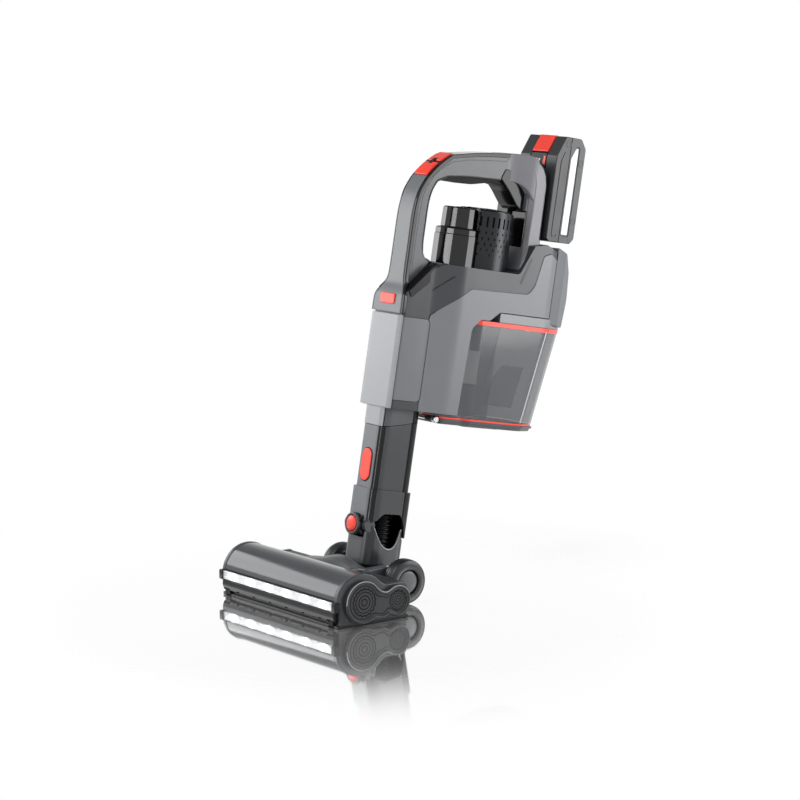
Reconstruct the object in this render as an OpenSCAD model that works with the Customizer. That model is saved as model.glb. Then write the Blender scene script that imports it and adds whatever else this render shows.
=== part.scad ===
// Cordless stick vacuum cleaner with a motorised floor head, a knee joint in its
// neck, a closed-loop handle, a clip-in battery and a see-through dust bin.
// Millimetres, +Z up, -Y is the front, +X is the machine's left.
// The origin lies on the floor under the middle of the sole plate.

/* [Floor head] */
// Width over both end caps
head_w = 250; // [220:1:300]
// Thickness of each end cap
end_cap_t = 6; // [4:0.5:10]
// Radius of the end cap round the brush
brush_cap_r = 26; // [25:0.5:28]
// Radius of the end cap round the motor
motor_cap_r = 19; // [17:0.5:21]
// Height of the brush axis over the floor
brush_z = 28; // [28:0.5:31]
// Brush axis in front of the wheel axle
brush_back = 108; // [106:1:112]
// Radius of the brush over its bristles
brush_r = 27; // [24:0.5:27]
// Radius of the brush body
brush_core_r = 19; // [14:0.5:20]
// Free space round the bristles
brush_gap = 2.5; // [2:0.5:4]
// Thickness of the housing and cover walls
wall = 2.5; // [2:0.1:3]
// Motor axis in front of the wheel axle
motor_back = 58; // [56:0.5:60]
// Height of the motor axis
motor_z = 24; // [23:0.5:26]
// Radius of the head motor
motor_r = 13; // [10:0.5:14]
// Length of the head motor
motor_len = 62; // [50:1:80]
// Thickness of the sole plate
sole_t = 3; // [2:0.5:4]
// Depth of the brush mouth, front to back
mouth_d = 44; // [36:1:46]
// Height of the light bar
light_h = 11; // [8:0.5:12]
// Height of the light bar's lower edge
light_z = 20; // [18:0.5:22]
// Number of lamps in the light bar
light_n = 6; // [4:1:8]
// Radius of the small rollers under the front
roller_r = 5; // [4:0.5:6]

/* [Wheels] */
// Radius of the rear wheels
wheel_r = 28; // [26:0.5:30]
// Width of a rear wheel
wheel_w = 20; // [16:0.5:22]
// Spacing of the wheels' middles
wheel_track = 125; // [120:1:130]
// Radius of the wheel axle
axle_r = 3; // [2.5:0.5:4]
// Radius of the wheel hub
hub_r = 15; // [13:0.5:18]
// Running clearance of a shaft in its bore
run_gap = 0.08; // [0.05:0.01:0.1]
// Free space beside and round a moving piece
side_gap = 0.4; // [0.3:0.05:0.6]

/* [Neck and knee] */
// Backward lean of the wand, degrees
lean = 10; // [4:1:14]
// Wand axis in front of the wheel axle
wand_front = 4; // [2:0.5:6]
// Width of the wand
wand_w = 46; // [44:0.5:48]
// Depth of the wand, front to back
wand_d = 59; // [57:0.5:62]
// Corner radius of the wand
wand_corner = 12; // [10:0.5:14]
// Radius of the barrel on the axle
barrel_r = 10.5; // [9:0.5:11]
// Radius of the round swivel spigot
swivel_r = 18; // [16:0.5:18.5]
// Height of the cup's foot along the wand
cup_low = 12; // [11.5:0.5:13]
// Height of the knee pin along the wand
knee_s = 60; // [58:0.5:62]
// Knee pin in front of the wand's axis
knee_front = 27; // [25:0.5:28]
// Radius of the knee drum
knee_r = 13; // [12:0.5:14]
// Radius of the round knee button
knee_button_r = 9; // [7:0.5:10]
// Radius of the knee pin
knee_pin_r = 2.5; // [2:0.5:3]
// Height of the collar's top along the wand
collar_top = 106; // [102:1:110]
// Height where the wand tube ends
wand_top = 183; // [178:1:188]
// Height of the oval button's middle
oval_s = 134; // [130:1:136]
// Length of the oval button
oval_len = 40; // [34:1:42]
// Width of the oval button
oval_w = 18; // [14:1:20]
// Radius of the ribbed hoses
hose_r = 15; // [13:0.5:15.5]
// Number of ribs on the knee hose
hose_ribs = 12; // [8:1:16]

/* [Body] */
// Height of the body's lower edge along the wand
body_low = 205; // [200:1:210]
// Half the width of the front trunk
trunk_half = 30; // [28:0.5:32]
// Half the width of the body at the bin
body_half = 45; // [43:0.5:50]
// Front face of the trunk before the wand's axis
trunk_front = 31; // [30.5:0.5:33]
// Height of the trunk panel's top
panel_top = 322; // [316:1:328]
// Height of the floor of the handle loop
loop_floor = 390; // [388:1:394]
// Underside of the grip
grip_low = 500; // [496:1:504]
// Thickness of the grip
grip_t = 34; // [30:1:36]
// Half the width of the handle
handle_half = 17; // [15:0.5:19]
// Half the width of the battery dock
dock_half = 30; // [26:0.5:32]
// Thickness of the body's side panels
panel_t = 1.5; // [1:0.1:2]
// Radius of the motor's vented housing
vent_r = 38; // [34:0.5:39]
// Middle of the vented housing behind the wand's axis
vent_back = 101; // [99:1:104]
// Top of the vented housing
vent_top = 465; // [450:1:468]
// Wall of the vented housing
vent_wall = 2; // [1.5:0.5:3]
// Radius of the fan's motor
fan_motor_r = 20; // [16:1:21]
// Radius of the filter cap's lower tier
cap_r = 29; // [26:0.5:30]
// Middle of the filter cap behind the wand's axis
cap_back = 64; // [62:1:66]
// Number of faces round the filter cap
cap_faces = 10; // [8:1:12]

/* [Dust bin] */
// Height of the bin's bottom seal
bin_low = 203; // [202:1:206]
// Height of the bin's top seal
bin_top = 326; // [322:1:330]
// Wall of the clear bin
bin_wall = 2.2; // [1.8:0.1:3]
// Front wall of the bin behind the wand's axis
bin_front = 44; // [43:1:50]
// Radius of the cyclone
cyclone_r = 24; // [20:0.5:26]
// Middle of the cyclone behind the wand's axis
cyclone_back = 96; // [92:1:100]
// Depth of the bin's lid
lid_t = 9; // [7:0.5:11]
// Radius of the lid's hinge pin
lid_pin_r = 2; // [1.5:0.5:2.5]

/* [Battery] */
// Width of the battery
battery_w = 71; // [70:0.5:80]
// Depth of the battery, front to back
battery_d = 47; // [45:0.5:54]
// Height of the battery
battery_h = 134; // [126:1:140]
// Height of the battery's foot along the wand
battery_low = 437; // [434:1:440]
// Front of the battery behind the wand's axis
battery_front = 178; // [177.5:0.5:180]
// Diameter of a cell
cell_d = 18.4; // [17:0.1:18.8]

/* [Hidden] */
$fn = 64;

// ---- derived sizes of the head
axle_y = 92;
inner_w = head_w - 2 * end_cap_t - 2 * 0.3;
chamber_r = brush_r + brush_gap;
brush_y = axle_y - brush_back;
motor_y = axle_y - motor_back;
cover_r = chamber_r + wall + 0.3;
head_front = brush_y - chamber_r - 9.5;
head_rear = axle_y - wheel_r - 10;
end_wall = 3;
belt_w = 7;
brush_len = inner_w - 2 * end_wall - 2 * 1.5 - belt_w;
belt_t = 1.2;
belt_x = inner_w / 2 - end_wall - belt_w / 2 - 1;
brush_pulley_r = 11;
motor_pulley_r = 6;
shaft_r = 4;
bearing_r = 8;
roller_w = 9;
roller_y = head_front + roller_r + 2.5;
roller_x = inner_w / 2 - 12;

// ---- derived sizes of the wand and knee, along the leaning wand
knee_p = -knee_front;
cup_wall = 3;
knee_half = 13.2;
collar_grow = 3;
collar_low = knee_s + knee_r + 3;
shell_t = 2;
liner_w = wand_w - 2 * shell_t - 0.2;
liner_d = wand_d - 2 * shell_t - 0.2;
liner_wall = 1.6;
spigot_low = oval_s + oval_len / 2 + 4;

// ---- small shapes
module along_x(w) {
    rotate([90, 0, 90]) linear_extrude(height = w, center = true) children();
}

module rod_x(r, w) {
    rotate([0, 90, 0]) cylinder(r = r, h = w, center = true);
}

module rounded(w, d, r) {
    square([w - 2 * r, d], center = true);
    square([w, d - 2 * r], center = true);
    for (sx = [-1, 1], sy = [-1, 1])
        translate([sx * (w / 2 - r), sy * (d / 2 - r)]) circle(r = r);
}

module bar(w, d, r, low, top) {
    translate([0, 0, low]) linear_extrude(height = top - low) rounded(w, d, r);
}

module wand_frame() {
    translate([0, axle_y, wheel_r]) rotate([-lean, 0, 0]) translate([0, -wand_front, 0]) children();
}

module knee_at() {
    translate([0, knee_p, knee_s]) children();
}

function arc(c, rx, rz, a0, a1, n) =
    [for (i = [0:n]) let (a = a0 + (a1 - a0) * i / n) [c[0] + rx * cos(a), c[1] + rz * sin(a)]];

function bezier(a, b, c, d, n) =
    [for (i = [0:n]) let (t = i / n, u = 1 - t)
        u * u * u * a + 3 * u * u * t * b + 3 * u * t * t * c + t * t * t * d];

// ---- ribbed hose: one tube of 8-sided rings, two rings to each rib
hose_sides = 8;
hose_wall = 1.2;
function hose_ring(q, dir, r) =
    [for (k = [0:hose_sides - 1]) let (a = 360 * (k + 0.5) / hose_sides)
        [q[0] + r * cos(a), q[1] + r * sin(a) * dir[1], q[2] - r * sin(a) * dir[0]]];

// A hose in the x = 0 plane from point a to point b, given as [y, z]
module ribbed_hose(a, b, r, ribs) {
    span = norm(b - a);
    dir = (b - a) / span;
    rib_h = r * 0.12;
    count = 2 * ribs + 2;
    function at(i) = a + dir * span * i / (count - 1);
    function radius(i) = (i == 0 || i == count - 1) ? r - rib_h : (i % 2 == 1 ? r : r - rib_h);
    outer = [for (i = [0:count - 1]) each hose_ring([0, at(i)[0], at(i)[1]], dir, radius(i))];
    inner = [for (i = [0, count - 1])
        each hose_ring([0, at(i)[0], at(i)[1]], dir, r - rib_h - hose_wall)];
    n = hose_sides;
    o = count * n;
    skin = [for (i = [0:count - 2], k = [0:n - 1]) let (j = (k + 1) % n)
        each [[i * n + k, i * n + j, (i + 1) * n + k], [i * n + j, (i + 1) * n + j, (i + 1) * n + k]]];
    bore = [for (k = [0:n - 1]) let (j = (k + 1) % n)
        each [[o + k, o + n + k, o + j], [o + j, o + n + k, o + n + j]]];
    first = [for (k = [0:n - 1]) let (j = (k + 1) % n)
        each [[k, o + k, j], [j, o + k, o + j]]];
    last = [for (k = [0:n - 1]) let (j = (k + 1) % n, e = (count - 1) * n)
        each [[e + k, e + j, o + n + k], [e + j, o + n + j, o + n + k]]];
    polyhedron(points = concat(outer, inner), faces = concat(skin, bore, first, last));
}

// ---- floor head
// Section of the head over the sole: front wall, round top, low deck over the motor
deck_z = motor_z + motor_cap_r + 0.4;
cover_deg = 38;
cover_end = [brush_y + (brush_y - head_front - 3) * cos(cover_deg), brush_z + (cover_r + wall) * sin(cover_deg)];
function head_section(g) = concat(
    [[head_rear - g, sole_t], [head_front + 4 + g, sole_t], [head_front + 4 + g, light_z + light_h]],
    arc([brush_y, brush_z], brush_y - head_front - 3 - g, cover_r + wall - g, 168, cover_deg, 20),
    [[motor_y - 14 - g / 2, deck_z - g], [head_rear - 4 - g / 2, deck_z - g], [head_rear - g, deck_z - 6 - g / 2]]
);

module brush_mouth() {
    translate([0, brush_y, 0])
        cube([brush_len + 2 * 1.5 + belt_w, mouth_d, 2 * sole_t + 2], center = true);
}

module sole_plate() color("#2b2c2e") difference() {
    translate([-inner_w / 2, head_front + 4, 0]) cube([inner_w, head_rear - head_front - 4, sole_t]);
    brush_mouth();
    for (sx = [-1, 1]) translate([sx * roller_x, roller_y, 0])
        cube([roller_w + 2, 2 * roller_r + 3, 4 * sole_t], center = true);
}

module head_housing() color("#3a3b3d") difference() {
    along_x(inner_w) polygon(head_section(wall + 0.3));
    translate([0, brush_y, brush_z]) rod_x(chamber_r, inner_w - 2 * end_wall);
    translate([0, brush_y, sole_t])
        cube([inner_w - 2 * end_wall, mouth_d, 2 * (brush_z - sole_t - 8)], center = true);
    translate([0, brush_y, brush_z]) rod_x(bearing_r, inner_w + 2);
    translate([0, motor_y, motor_z]) rod_x(motor_r + 1, inner_w - 2 * end_wall);
    translate([belt_x, (brush_y + motor_y) / 2, brush_z])
        cube([belt_w + 3, brush_back - motor_back, 2 * brush_pulley_r + 4], center = true);
    translate([0, head_front + 4 + wall, light_z + light_h / 2])
        cube([inner_w - 2, 4, light_h + 0.6], center = true);
    for (sx = [-1, 1]) translate([sx * roller_x, roller_y, roller_r])
        rod_x(roller_r + 1, roller_w + 2);
}

module head_cover() color("#4b4c4f") difference() {
    along_x(inner_w) polygon(head_section(0));
    along_x(inner_w + 2) polygon(head_section(wall));
    translate([0, head_front, light_z + light_h / 2]) cube([inner_w + 2, 30, light_h + 1], center = true);
    translate([0, 0, sole_t + 4]) cube([inner_w + 2, 400, 2 * 6.5], center = true);
}

module led_board() color("#1f5a34") {
    translate([0, head_front + 4 + 1.6, light_z + light_h / 2])
        cube([inner_w - 12, 1, light_h - 2], center = true);
    for (i = [0:light_n - 1])
        translate([(i + 0.5 - light_n / 2) * (inner_w - 20) / light_n, head_front + 4 + 0.7, light_z + light_h / 2])
            cube([5, 0.8, 5], center = true);
}

module led_lens() color("#f2f4f6", 0.6) {
    translate([0, head_front + 4 - 1.6, light_z + light_h / 2])
        cube([inner_w - 4, 3.2, light_h], center = true);
}

module end_cap_shape() {
    translate([brush_y, brush_z]) circle(r = brush_cap_r);
    translate([motor_y, motor_z]) circle(r = motor_cap_r);
    polygon([
        [brush_y, brush_z - brush_cap_r], [motor_y, motor_z - motor_cap_r],
        [motor_y - 6, motor_z + motor_cap_r - 1], [brush_y + 8, brush_z + brush_cap_r - 1.5]]);
}

module end_cap() {
    translate([head_w / 2 - end_cap_t / 2, 0, 0]) along_x(end_cap_t) end_cap_shape();
}

module end_cap_left() color("#2a2b2d") end_cap();

module end_cap_right() color("#2a2b2d") mirror([1, 0, 0]) end_cap();

module brush_bearings() color("silver")
    for (sx = [-1, 1]) translate([sx * (inner_w / 2 - end_wall / 2), brush_y, brush_z]) difference() {
        rod_x(bearing_r - 0.02, end_wall);
        rod_x(shaft_r + run_gap, end_wall + 1);
    }

module brush_core() color("#3c3d40") translate([0, brush_y, brush_z]) {
    translate([-(belt_w + 1) / 2, 0, 0]) rod_x(brush_core_r, brush_len);
    translate([belt_x, 0, 0]) rod_x(brush_pulley_r, belt_w + 1);
    rod_x(shaft_r, inner_w - 0.6);
}

bristle_rows = 5;
bristle_steps = 14;
bristle_w = 4;
module brush_bristles() color("#c9452f") translate([-(belt_w + 1) / 2, brush_y, brush_z])
    for (row = [0:bristle_rows - 1], i = [0:bristle_steps - 1])
        rotate([row * 360 / bristle_rows + i * 9, 0, 0])
            translate([(i + 0.5 - bristle_steps / 2) * brush_len / bristle_steps, 0,
                (brush_core_r + 0.05 + brush_r) / 2])
                cube([brush_len / bristle_steps - 1, bristle_w, brush_r - brush_core_r - 0.4], center = true);

module head_motor() color("silver") translate([belt_x - belt_w / 2 - 2 - motor_len / 2, motor_y, motor_z])
    difference() {
        rod_x(motor_r, motor_len);
        translate([motor_len / 2, 0, 0]) rod_x(1.5 + run_gap, 30);
    }

module motor_pulley() color("#b08d3c") translate([0, motor_y, motor_z]) {
    translate([belt_x, 0, 0]) rod_x(motor_pulley_r, belt_w);
    translate([belt_x - 6, 0, 0]) rod_x(1.5, belt_w + 12);
}

module drive_belt() color("#161617") translate([belt_x, 0, 0]) along_x(belt_w - 1) difference() {
    hull() {
        translate([brush_y, brush_z]) circle(r = brush_pulley_r + 0.3 + belt_t, $fn = 32);
        translate([motor_y, motor_z]) circle(r = motor_pulley_r + 0.3 + belt_t, $fn = 32);
    }
    hull() {
        translate([brush_y, brush_z]) circle(r = brush_pulley_r + 0.3, $fn = 32);
        translate([motor_y, motor_z]) circle(r = motor_pulley_r + 0.3, $fn = 32);
    }
}

module front_rollers() color("#18181a") translate([0, roller_y, roller_r])
    for (sx = [-1, 1]) translate([sx * roller_x, 0, 0]) rod_x(roller_r, roller_w);

// ---- rear fork and wheels
fork_in = wand_w / 2 + 10.5;
fork_out = wheel_track / 2 - wheel_w / 2 - 1;
fork_r = 14;
saddle_t = 6.2;
rib_in = fork_in + 2.5;
module rear_fork() color("#636568") difference() {
    union() {
        for (sx = [-1, 1]) translate([sx * (fork_in + fork_out) / 2, 0, 0]) {
            translate([0, axle_y, wheel_r]) rod_x(fork_r, fork_out - fork_in);
            translate([0, 0, 0]) along_x(fork_out - fork_in) polygon([
                [head_rear + 0.2, 8], [axle_y, wheel_r - fork_r],
                [axle_y, wheel_r + fork_r], [head_rear + 0.2, deck_z - 1.6]]);
        }
        along_x(2 * fork_out) polygon([
            [head_rear + 0.2, 10], [head_rear + 6, 10],
            [head_rear + 6, wheel_r + cup_low - 5], [head_rear + 0.2, wheel_r + cup_low - 2.5]]);
        // saddle lying on the deck, and a rib on each arm
        along_x(2 * fork_out - 6) polygon([
            [motor_y - 13.6, deck_z + 0.3], [cover_end[0] + 2.3, cover_end[1] - 0.7],
            [cover_end[0] + 8, deck_z + saddle_t], [head_rear - 2, deck_z + 2.4],
            [head_rear + 3, deck_z - 8], [head_rear + 0.3, deck_z - 8],
            [head_rear + 0.3, deck_z - 5.8], [head_rear - 3.7, deck_z + 0.3]]);
        for (sx = [-1, 1]) translate([sx * (rib_in + fork_out) / 2, 0, 0])
            along_x(fork_out - rib_in) polygon([
                [head_rear + 0.2, deck_z - 2.4], [head_rear - 2, deck_z + 2.4], [axle_y - 16, deck_z + 3],
                [axle_y - 2, wheel_r + fork_r - 0.5], [axle_y - 6, wheel_r + fork_r - 3]]);
    }
    translate([0, axle_y, wheel_r]) rod_x(axle_r, 2 * fork_out + 4);
}

module wheel_axle() color("silver")
    translate([0, axle_y, wheel_r]) rod_x(axle_r, wheel_track + wheel_w - 4);

module tyre() color("#1b1b1c") translate([wheel_track / 2, axle_y, wheel_r]) rotate([0, 90, 0])
    rotate_extrude() difference() {
        union() {
            translate([hub_r, -wheel_w / 2]) square([wheel_r - hub_r - 4, wheel_w]);
            translate([hub_r, -wheel_w / 2 + 4]) square([wheel_r - hub_r, wheel_w - 8]);
            for (sy = [-1, 1]) translate([wheel_r - 4, sy * (wheel_w / 2 - 4)]) circle(r = 4);
        }
    }

module hub() color("#6b6c6f") translate([wheel_track / 2, axle_y, wheel_r]) difference() {
    rod_x(hub_r - 0.02, wheel_w - 1);
    rod_x(axle_r + run_gap, wheel_w + 2);
}

module tyre_left() tyre();
module hub_left() hub();
module tyre_right() mirror([1, 0, 0]) tyre();
module hub_right() mirror([1, 0, 0]) hub();

// ---- neck, on the leaning wand's own frame
module neck_yoke() color("#2f3033") wand_frame() difference() {
    union() {
        translate([0, wand_front, 0]) rod_x(barrel_r, 2 * (fork_in - side_gap));
        cylinder(r = swivel_r, h = cup_low + 14);
    }
    translate([0, wand_front, 0]) rod_x(axle_r + run_gap, 3 * fork_in);
    translate([0, 0, barrel_r + 4]) cylinder(r = swivel_r - 3.5, h = 30);
}

neck_hose_r = 10;
module neck_hose() color("#1a1a1c")
    ribbed_hose([head_rear + 6.4, wheel_r + 2], [axle_y - swivel_r - wand_front - 1.2, wheel_r + 2], neck_hose_r, 4);

module cup_profile() polygon(concat(
    [[-wand_d / 2 - 1, cup_low], [-wand_d / 2 - 1, knee_s]],
    [[knee_p, knee_s]],
    bezier([knee_p + 6, knee_s - 4], [-14, 40], [-4, 34], [6, 34], 8),
    [[16, 36], [wand_d / 2 + 1, 42], [wand_d / 2 + 1, cup_low]]));

module swivel_cup() color("#55575a") wand_frame() difference() {
    union() {
        intersection() {
            bar(wand_w, wand_d, wand_corner, cup_low, knee_s + 20);
            along_x(wand_w + 2) cup_profile();
        }
        knee_at() for (sx = [-1, 1]) translate([sx * (knee_half + 0.4 + wand_w / 2 - 1.5) / 2, 0, 0])
            rod_x(8, wand_w / 2 - 1.5 - knee_half - 0.4);
    }
    bar(wand_w - 2 * cup_wall, wand_d - 2 * cup_wall, wand_corner - cup_wall, cup_low + 15, knee_s + 30);
    cylinder(r = swivel_r + run_gap, h = 60, center = true);
    knee_at() rod_x(knee_r + 0.6, 2 * knee_half + 0.8);
    translate([0, -wand_d / 2, knee_s]) cube([2 * knee_half + 0.8, 30, 2 * knee_r + 2], center = true);
    knee_at() rod_x(norm([knee_r + 1.5, knee_button_r]) + 0.6, 2 * knee_button_r + 1.6);
    knee_at() rod_x(knee_pin_r, wand_w + 2);
}

module knee_pin() color("silver") wand_frame() knee_at() rod_x(knee_pin_r, wand_w - 6);

module knee_hose() color("#141415") wand_frame()
    ribbed_hose([4, cup_low + 15.3], [4, collar_top - 10], hose_r, hose_ribs);

module knee_collar() color("#5b5d60") wand_frame() difference() {
    union() {
        difference() {
            bar(wand_w + 2 * collar_grow, wand_d + 2 * collar_grow, wand_corner + collar_grow, collar_low, collar_top);
            bar(wand_w + 0.1, wand_d + 0.1, wand_corner, collar_low + 6, collar_top + 1);
            bar(wand_w - 10, wand_d - 10, wand_corner - 5, collar_low - 1, collar_top + 1);
        }
        knee_at() rod_x(knee_r, 2 * knee_half);
        translate([0, knee_p + 3, (knee_s + collar_low) / 2 + 3])
            cube([2 * knee_half, 2 * knee_r - 6, collar_low - knee_s + 6], center = true);
        translate([0, wand_d / 2 + collar_grow - 4, (45 + collar_low) / 2 + 1])
            cube([30, 5, collar_low - 45 + 2], center = true);
    }
    knee_at() rod_x(knee_pin_r + run_gap, 4 * knee_half);
    knee_at() translate([0, -knee_r, 0]) rotate([90, 0, 0])
        cylinder(r = knee_button_r + run_gap, h = 16, center = true);
}

module knee_button() color("#ee3a25") wand_frame() knee_at()
    translate([0, -knee_r + 1, 0]) rotate([90, 0, 0]) cylinder(r = knee_button_r, h = 5, center = true);

module stadium(w, len) {
    square([w, len - w], center = true);
    for (sy = [-1, 1]) translate([0, sy * (len - w) / 2]) circle(d = w);
}

module oval_hole(g, deep) {
    translate([0, -wand_d / 2, oval_s]) rotate([90, 0, 0])
        linear_extrude(height = deep, center = true) stadium(oval_w + 2 * g, oval_len + 2 * g);
}

module wand_liner() color("#151516") wand_frame() difference() {
    bar(liner_w, liner_d, wand_corner - shell_t, collar_low + 6.2, wand_top - 1);
    bar(liner_w - 2 * liner_wall, liner_d - 2 * liner_wall, wand_corner - shell_t - liner_wall,
        collar_low, wand_top + 1);
    oval_hole(0.6, 20);
}

strip_w = 4;
shell_split = -wand_d / 2 + 8;
module wand_shell(p0, p1) {
    intersection() {
        difference() {
            bar(wand_w, wand_d, wand_corner, collar_low + 6.2, wand_top);
            bar(wand_w - 2 * shell_t, wand_d - 2 * shell_t, wand_corner - shell_t, collar_low, wand_top + 1);
        }
        translate([-50, p0, 0]) cube([100, p1 - p0, 300]);
    }
}

module wand_front_shell() color("#8b8d90") wand_frame() difference() {
    wand_shell(-wand_d, shell_split);
    oval_hole(0.4, 20);
}

module wand_rear_shell() color("#4a4c4f") wand_frame() wand_shell(shell_split + strip_w, wand_d);

module wand_button() color("#ee3a25") wand_frame() translate([0, -wand_d / 2 + 0.6, oval_s])
    rotate([90, 0, 0]) linear_extrude(height = 4.8, center = true) stadium(oval_w, oval_len);

// ---- body outlines, seen from the side as [behind the wand's axis, along the wand]
dock_front = 150;
body_rear = 240;
rear_split = 196;
shoulder_s = loop_floor + 42;
roof_s = bin_top + 14;
arch_s = bin_top + 2.5;
dock_rear = battery_front - 2;
body_side = concat(
    [[-trunk_front + 4, body_low + 1], [66, body_low + 1]],
    bezier([70, bin_top - 14], [71, bin_top - 4], [75, arch_s], [84, arch_s], 5),
    [[98, arch_s], [106, arch_s + 5], [114, roof_s], [rear_split, roof_s]],
    [[rear_split, shoulder_s - 8], [dock_rear, shoulder_s], [dock_front + 6, shoulder_s - 4]],
    [[dock_front - 14, loop_floor], [24, loop_floor], [10, loop_floor - 8], [-14, loop_floor - 30]],
    [[-trunk_front + 6, 352], [-trunk_front + 4, panel_top]]);

// Plan of the body seen along the wand, drawn in by g
function body_plan(g) = let (h = body_half - g, t = trunk_half - g) [
    [-t, -trunk_front + 4 + g / 4], [-t - 2, 14], [-h, 46], [-h, body_rear - 54], [-h + 6, body_rear - 26],
    [-h + 22, body_rear - g], [h - 22, body_rear - g], [h - 6, body_rear - 26], [h, body_rear - 54], [h, 46],
    [t + 2, 14], [t, -trunk_front + 4 + g / 4]];

module body_block(g, low, top) {
    translate([0, 0, low]) linear_extrude(height = top - low) polygon(body_plan(g));
}

// Side panel's edge: stepped round the bin, then along the upper housing
panel_side = concat(
    [[14, body_low + 1], [66, body_low + 1]],
    bezier([70, bin_top - 14], [71, bin_top - 4], [75, arch_s], [84, arch_s], 5),
    [[98, arch_s], [106, arch_s + 5], [114, roof_s], [rear_split, roof_s],
        [rear_split, shoulder_s - 18], [184, shoulder_s - 12], [172, shoulder_s - 16]],
    bezier([168, 396], [163, 372], [156, 367], [146, 366], 5),
    [[62, 364], [12, 326], [14, 318]]);

// Air duct up from the wand, kept free of the trunk's front plate
duct_gap = 2.7;
plate_t = 3.8;
duct_front = trunk_front - plate_t - duct_gap;
duct_rear = wand_d / 2 - 5;
duct_top = bin_top - 26;
module duct(g) {
    translate([0, (duct_rear - duct_front) / 2, 0])
        bar(wand_w - 6 + 2 * g, duct_front + duct_rear + 2 * g, 8 + g, body_low - 1, duct_top + g);
}

module housing_half() {
    difference() {
        intersection() {
            body_block(panel_t, body_low, shoulder_s + 8);
            along_x(200) polygon(body_side);
            translate([0.05, -100, 0]) cube([100, 400, 600]);
        }
        // room for duct, filter and motor, over a roof above the bin
        difference() {
            body_block(panel_t + wall, body_low + 4, loop_floor - wall - 1);
            translate([0, bin_front + 100, roof_s + wall / 2]) cube([200, 200, wall], center = true);
        }
        duct(0.1);
        translate([0, fan_back, roof_s - 1]) cylinder(r = 12, h = wall + 2);
        bin_button_shape(side_gap, 12);
        translate([0, bin_front - 2 + 60, (body_low + bin_top) / 2 + 3])
            cube([2 * (body_half - 4.2), 120, bin_top - body_low + 12], center = true);
        translate([0, vent_back, vent_low]) cylinder(r = vent_r + 0.1, h = 200);
        translate([0, cap_back, vent_low]) cylinder(r = cap_r + side_gap, h = 200);
    }
}

module housing_left() color("#55575a") wand_frame() housing_half();
module housing_right() color("#55575a") wand_frame() mirror([1, 0, 0]) housing_half();

module side_panel() {
    intersection() {
        difference() {
            body_block(0, body_low, shoulder_s + 8);
            body_block(panel_t - 0.02, body_low - 1, shoulder_s + 9);
        }
        along_x(200) polygon(panel_side);
        translate([1, 0, 0]) cube([100, 400, 600]);
    }
}

module side_panel_left() color("#8f9094") wand_frame() side_panel();
module side_panel_right() color("#8f9094") wand_frame() mirror([1, 0, 0]) side_panel();

module rear_cover() color("#6a6c6f") wand_frame() difference() {
    intersection() {
        body_block(0, bin_top + 6, shoulder_s + 8);
        along_x(200) polygon([[rear_split + 0.2, bin_top + 8], [body_rear - 10, bin_top + 4],
            [body_rear - 3, bin_top + 40], [body_rear - 8, shoulder_s - 32],
            [body_rear - 22, shoulder_s - 8], [rear_split + 0.2, shoulder_s - 2]]);
    }
    intersection() {
        body_block(wall, bin_top, shoulder_s + 2);
        along_x(200) polygon([[rear_split - 6, bin_top], [body_rear - 10 - wall, bin_top],
            [body_rear - 3 - wall, bin_top + 40], [body_rear - 8 - wall, shoulder_s - 33],
            [body_rear - 22 - wall, shoulder_s - 12], [rear_split - 6, shoulder_s - 6]]);
    }
}

module trunk_cover() color("#9b9d9f") wand_frame()
    translate([0, -trunk_front + plate_t / 2, (body_low + panel_top) / 2 + 1]) rotate([90, 0, 0])
        linear_extrude(height = plate_t, center = true) rounded(2 * trunk_half, panel_top - body_low - 2, 4);

module body_nozzle() color("#85878a") wand_frame() {
    difference() {
        union() {
            bar(wand_w, wand_d, wand_corner, wand_top + 0.2, body_low - 0.05);
            bar(liner_w - 2 * liner_wall - 2 * side_gap, liner_d - 2 * liner_wall - 2 * side_gap,
                wand_corner - shell_t - liner_wall - side_gap, spigot_low, wand_top + 1);
            duct(0);
        }
        bar(liner_w - 10, liner_d - 14, 5, spigot_low - 1, duct_top - 4);
    }
}

// ---- handle loop
grip_top = grip_low + grip_t;
dock_top = grip_low;
handle_out = concat(
    [[-23.5, loop_floor - 36.65], [-23, 368], [-23, 446]],
    bezier([-22, 462], [-18, 492], [0, 514], [26, grip_top - 8], 8),
    bezier([50, grip_top - 3], [80, grip_top + 1], [110, grip_top + 4], [142, grip_top + 6], 4),
    bezier([152, grip_top + 4], [166, grip_top + 1], [dock_rear - 1, 524], [dock_rear, 512], 4),
    [[dock_rear, dock_top], [dock_front, dock_top - 14]]);
handle_in = concat(
    bezier([dock_front, dock_top - 14], [dock_front - 2, dock_top - 2], [130, grip_low + 5], [108, grip_low + 3], 5),
    bezier([90, grip_low + 2], [60, grip_low + 1], [40, grip_low - 1], [22, grip_low - 4], 4),
    bezier([8, grip_low - 10], [0, 480], [-3, 470], [-3, 452], 4),
    [[-3, 414], [2, 400], [10, loop_floor + 0.2], [8, loop_floor - 9.55], [-14, loop_floor - 29.75]]);

module handle_blank(w) along_x(w) polygon(concat(handle_out, handle_in));

strip_half = 13;
strip_t = 4;
module front_strip_blank(w) intersection() {
    difference() {
        handle_blank(w);
        translate([0, strip_t, -1]) handle_blank(w + 2);
    }
    along_x(w + 2) polygon([[-30, 366], [-30, 500], [-2, 500], [-14, 440], [-14, 366]]);
}

switch_c = [13, 512];
switch_a = 38;
module switch_room(g) translate([0, switch_c[0], switch_c[1]]) rotate([switch_a, 0, 0])
    cube([16 + 2 * g, 38 + 2 * g, 16], center = true);

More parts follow.
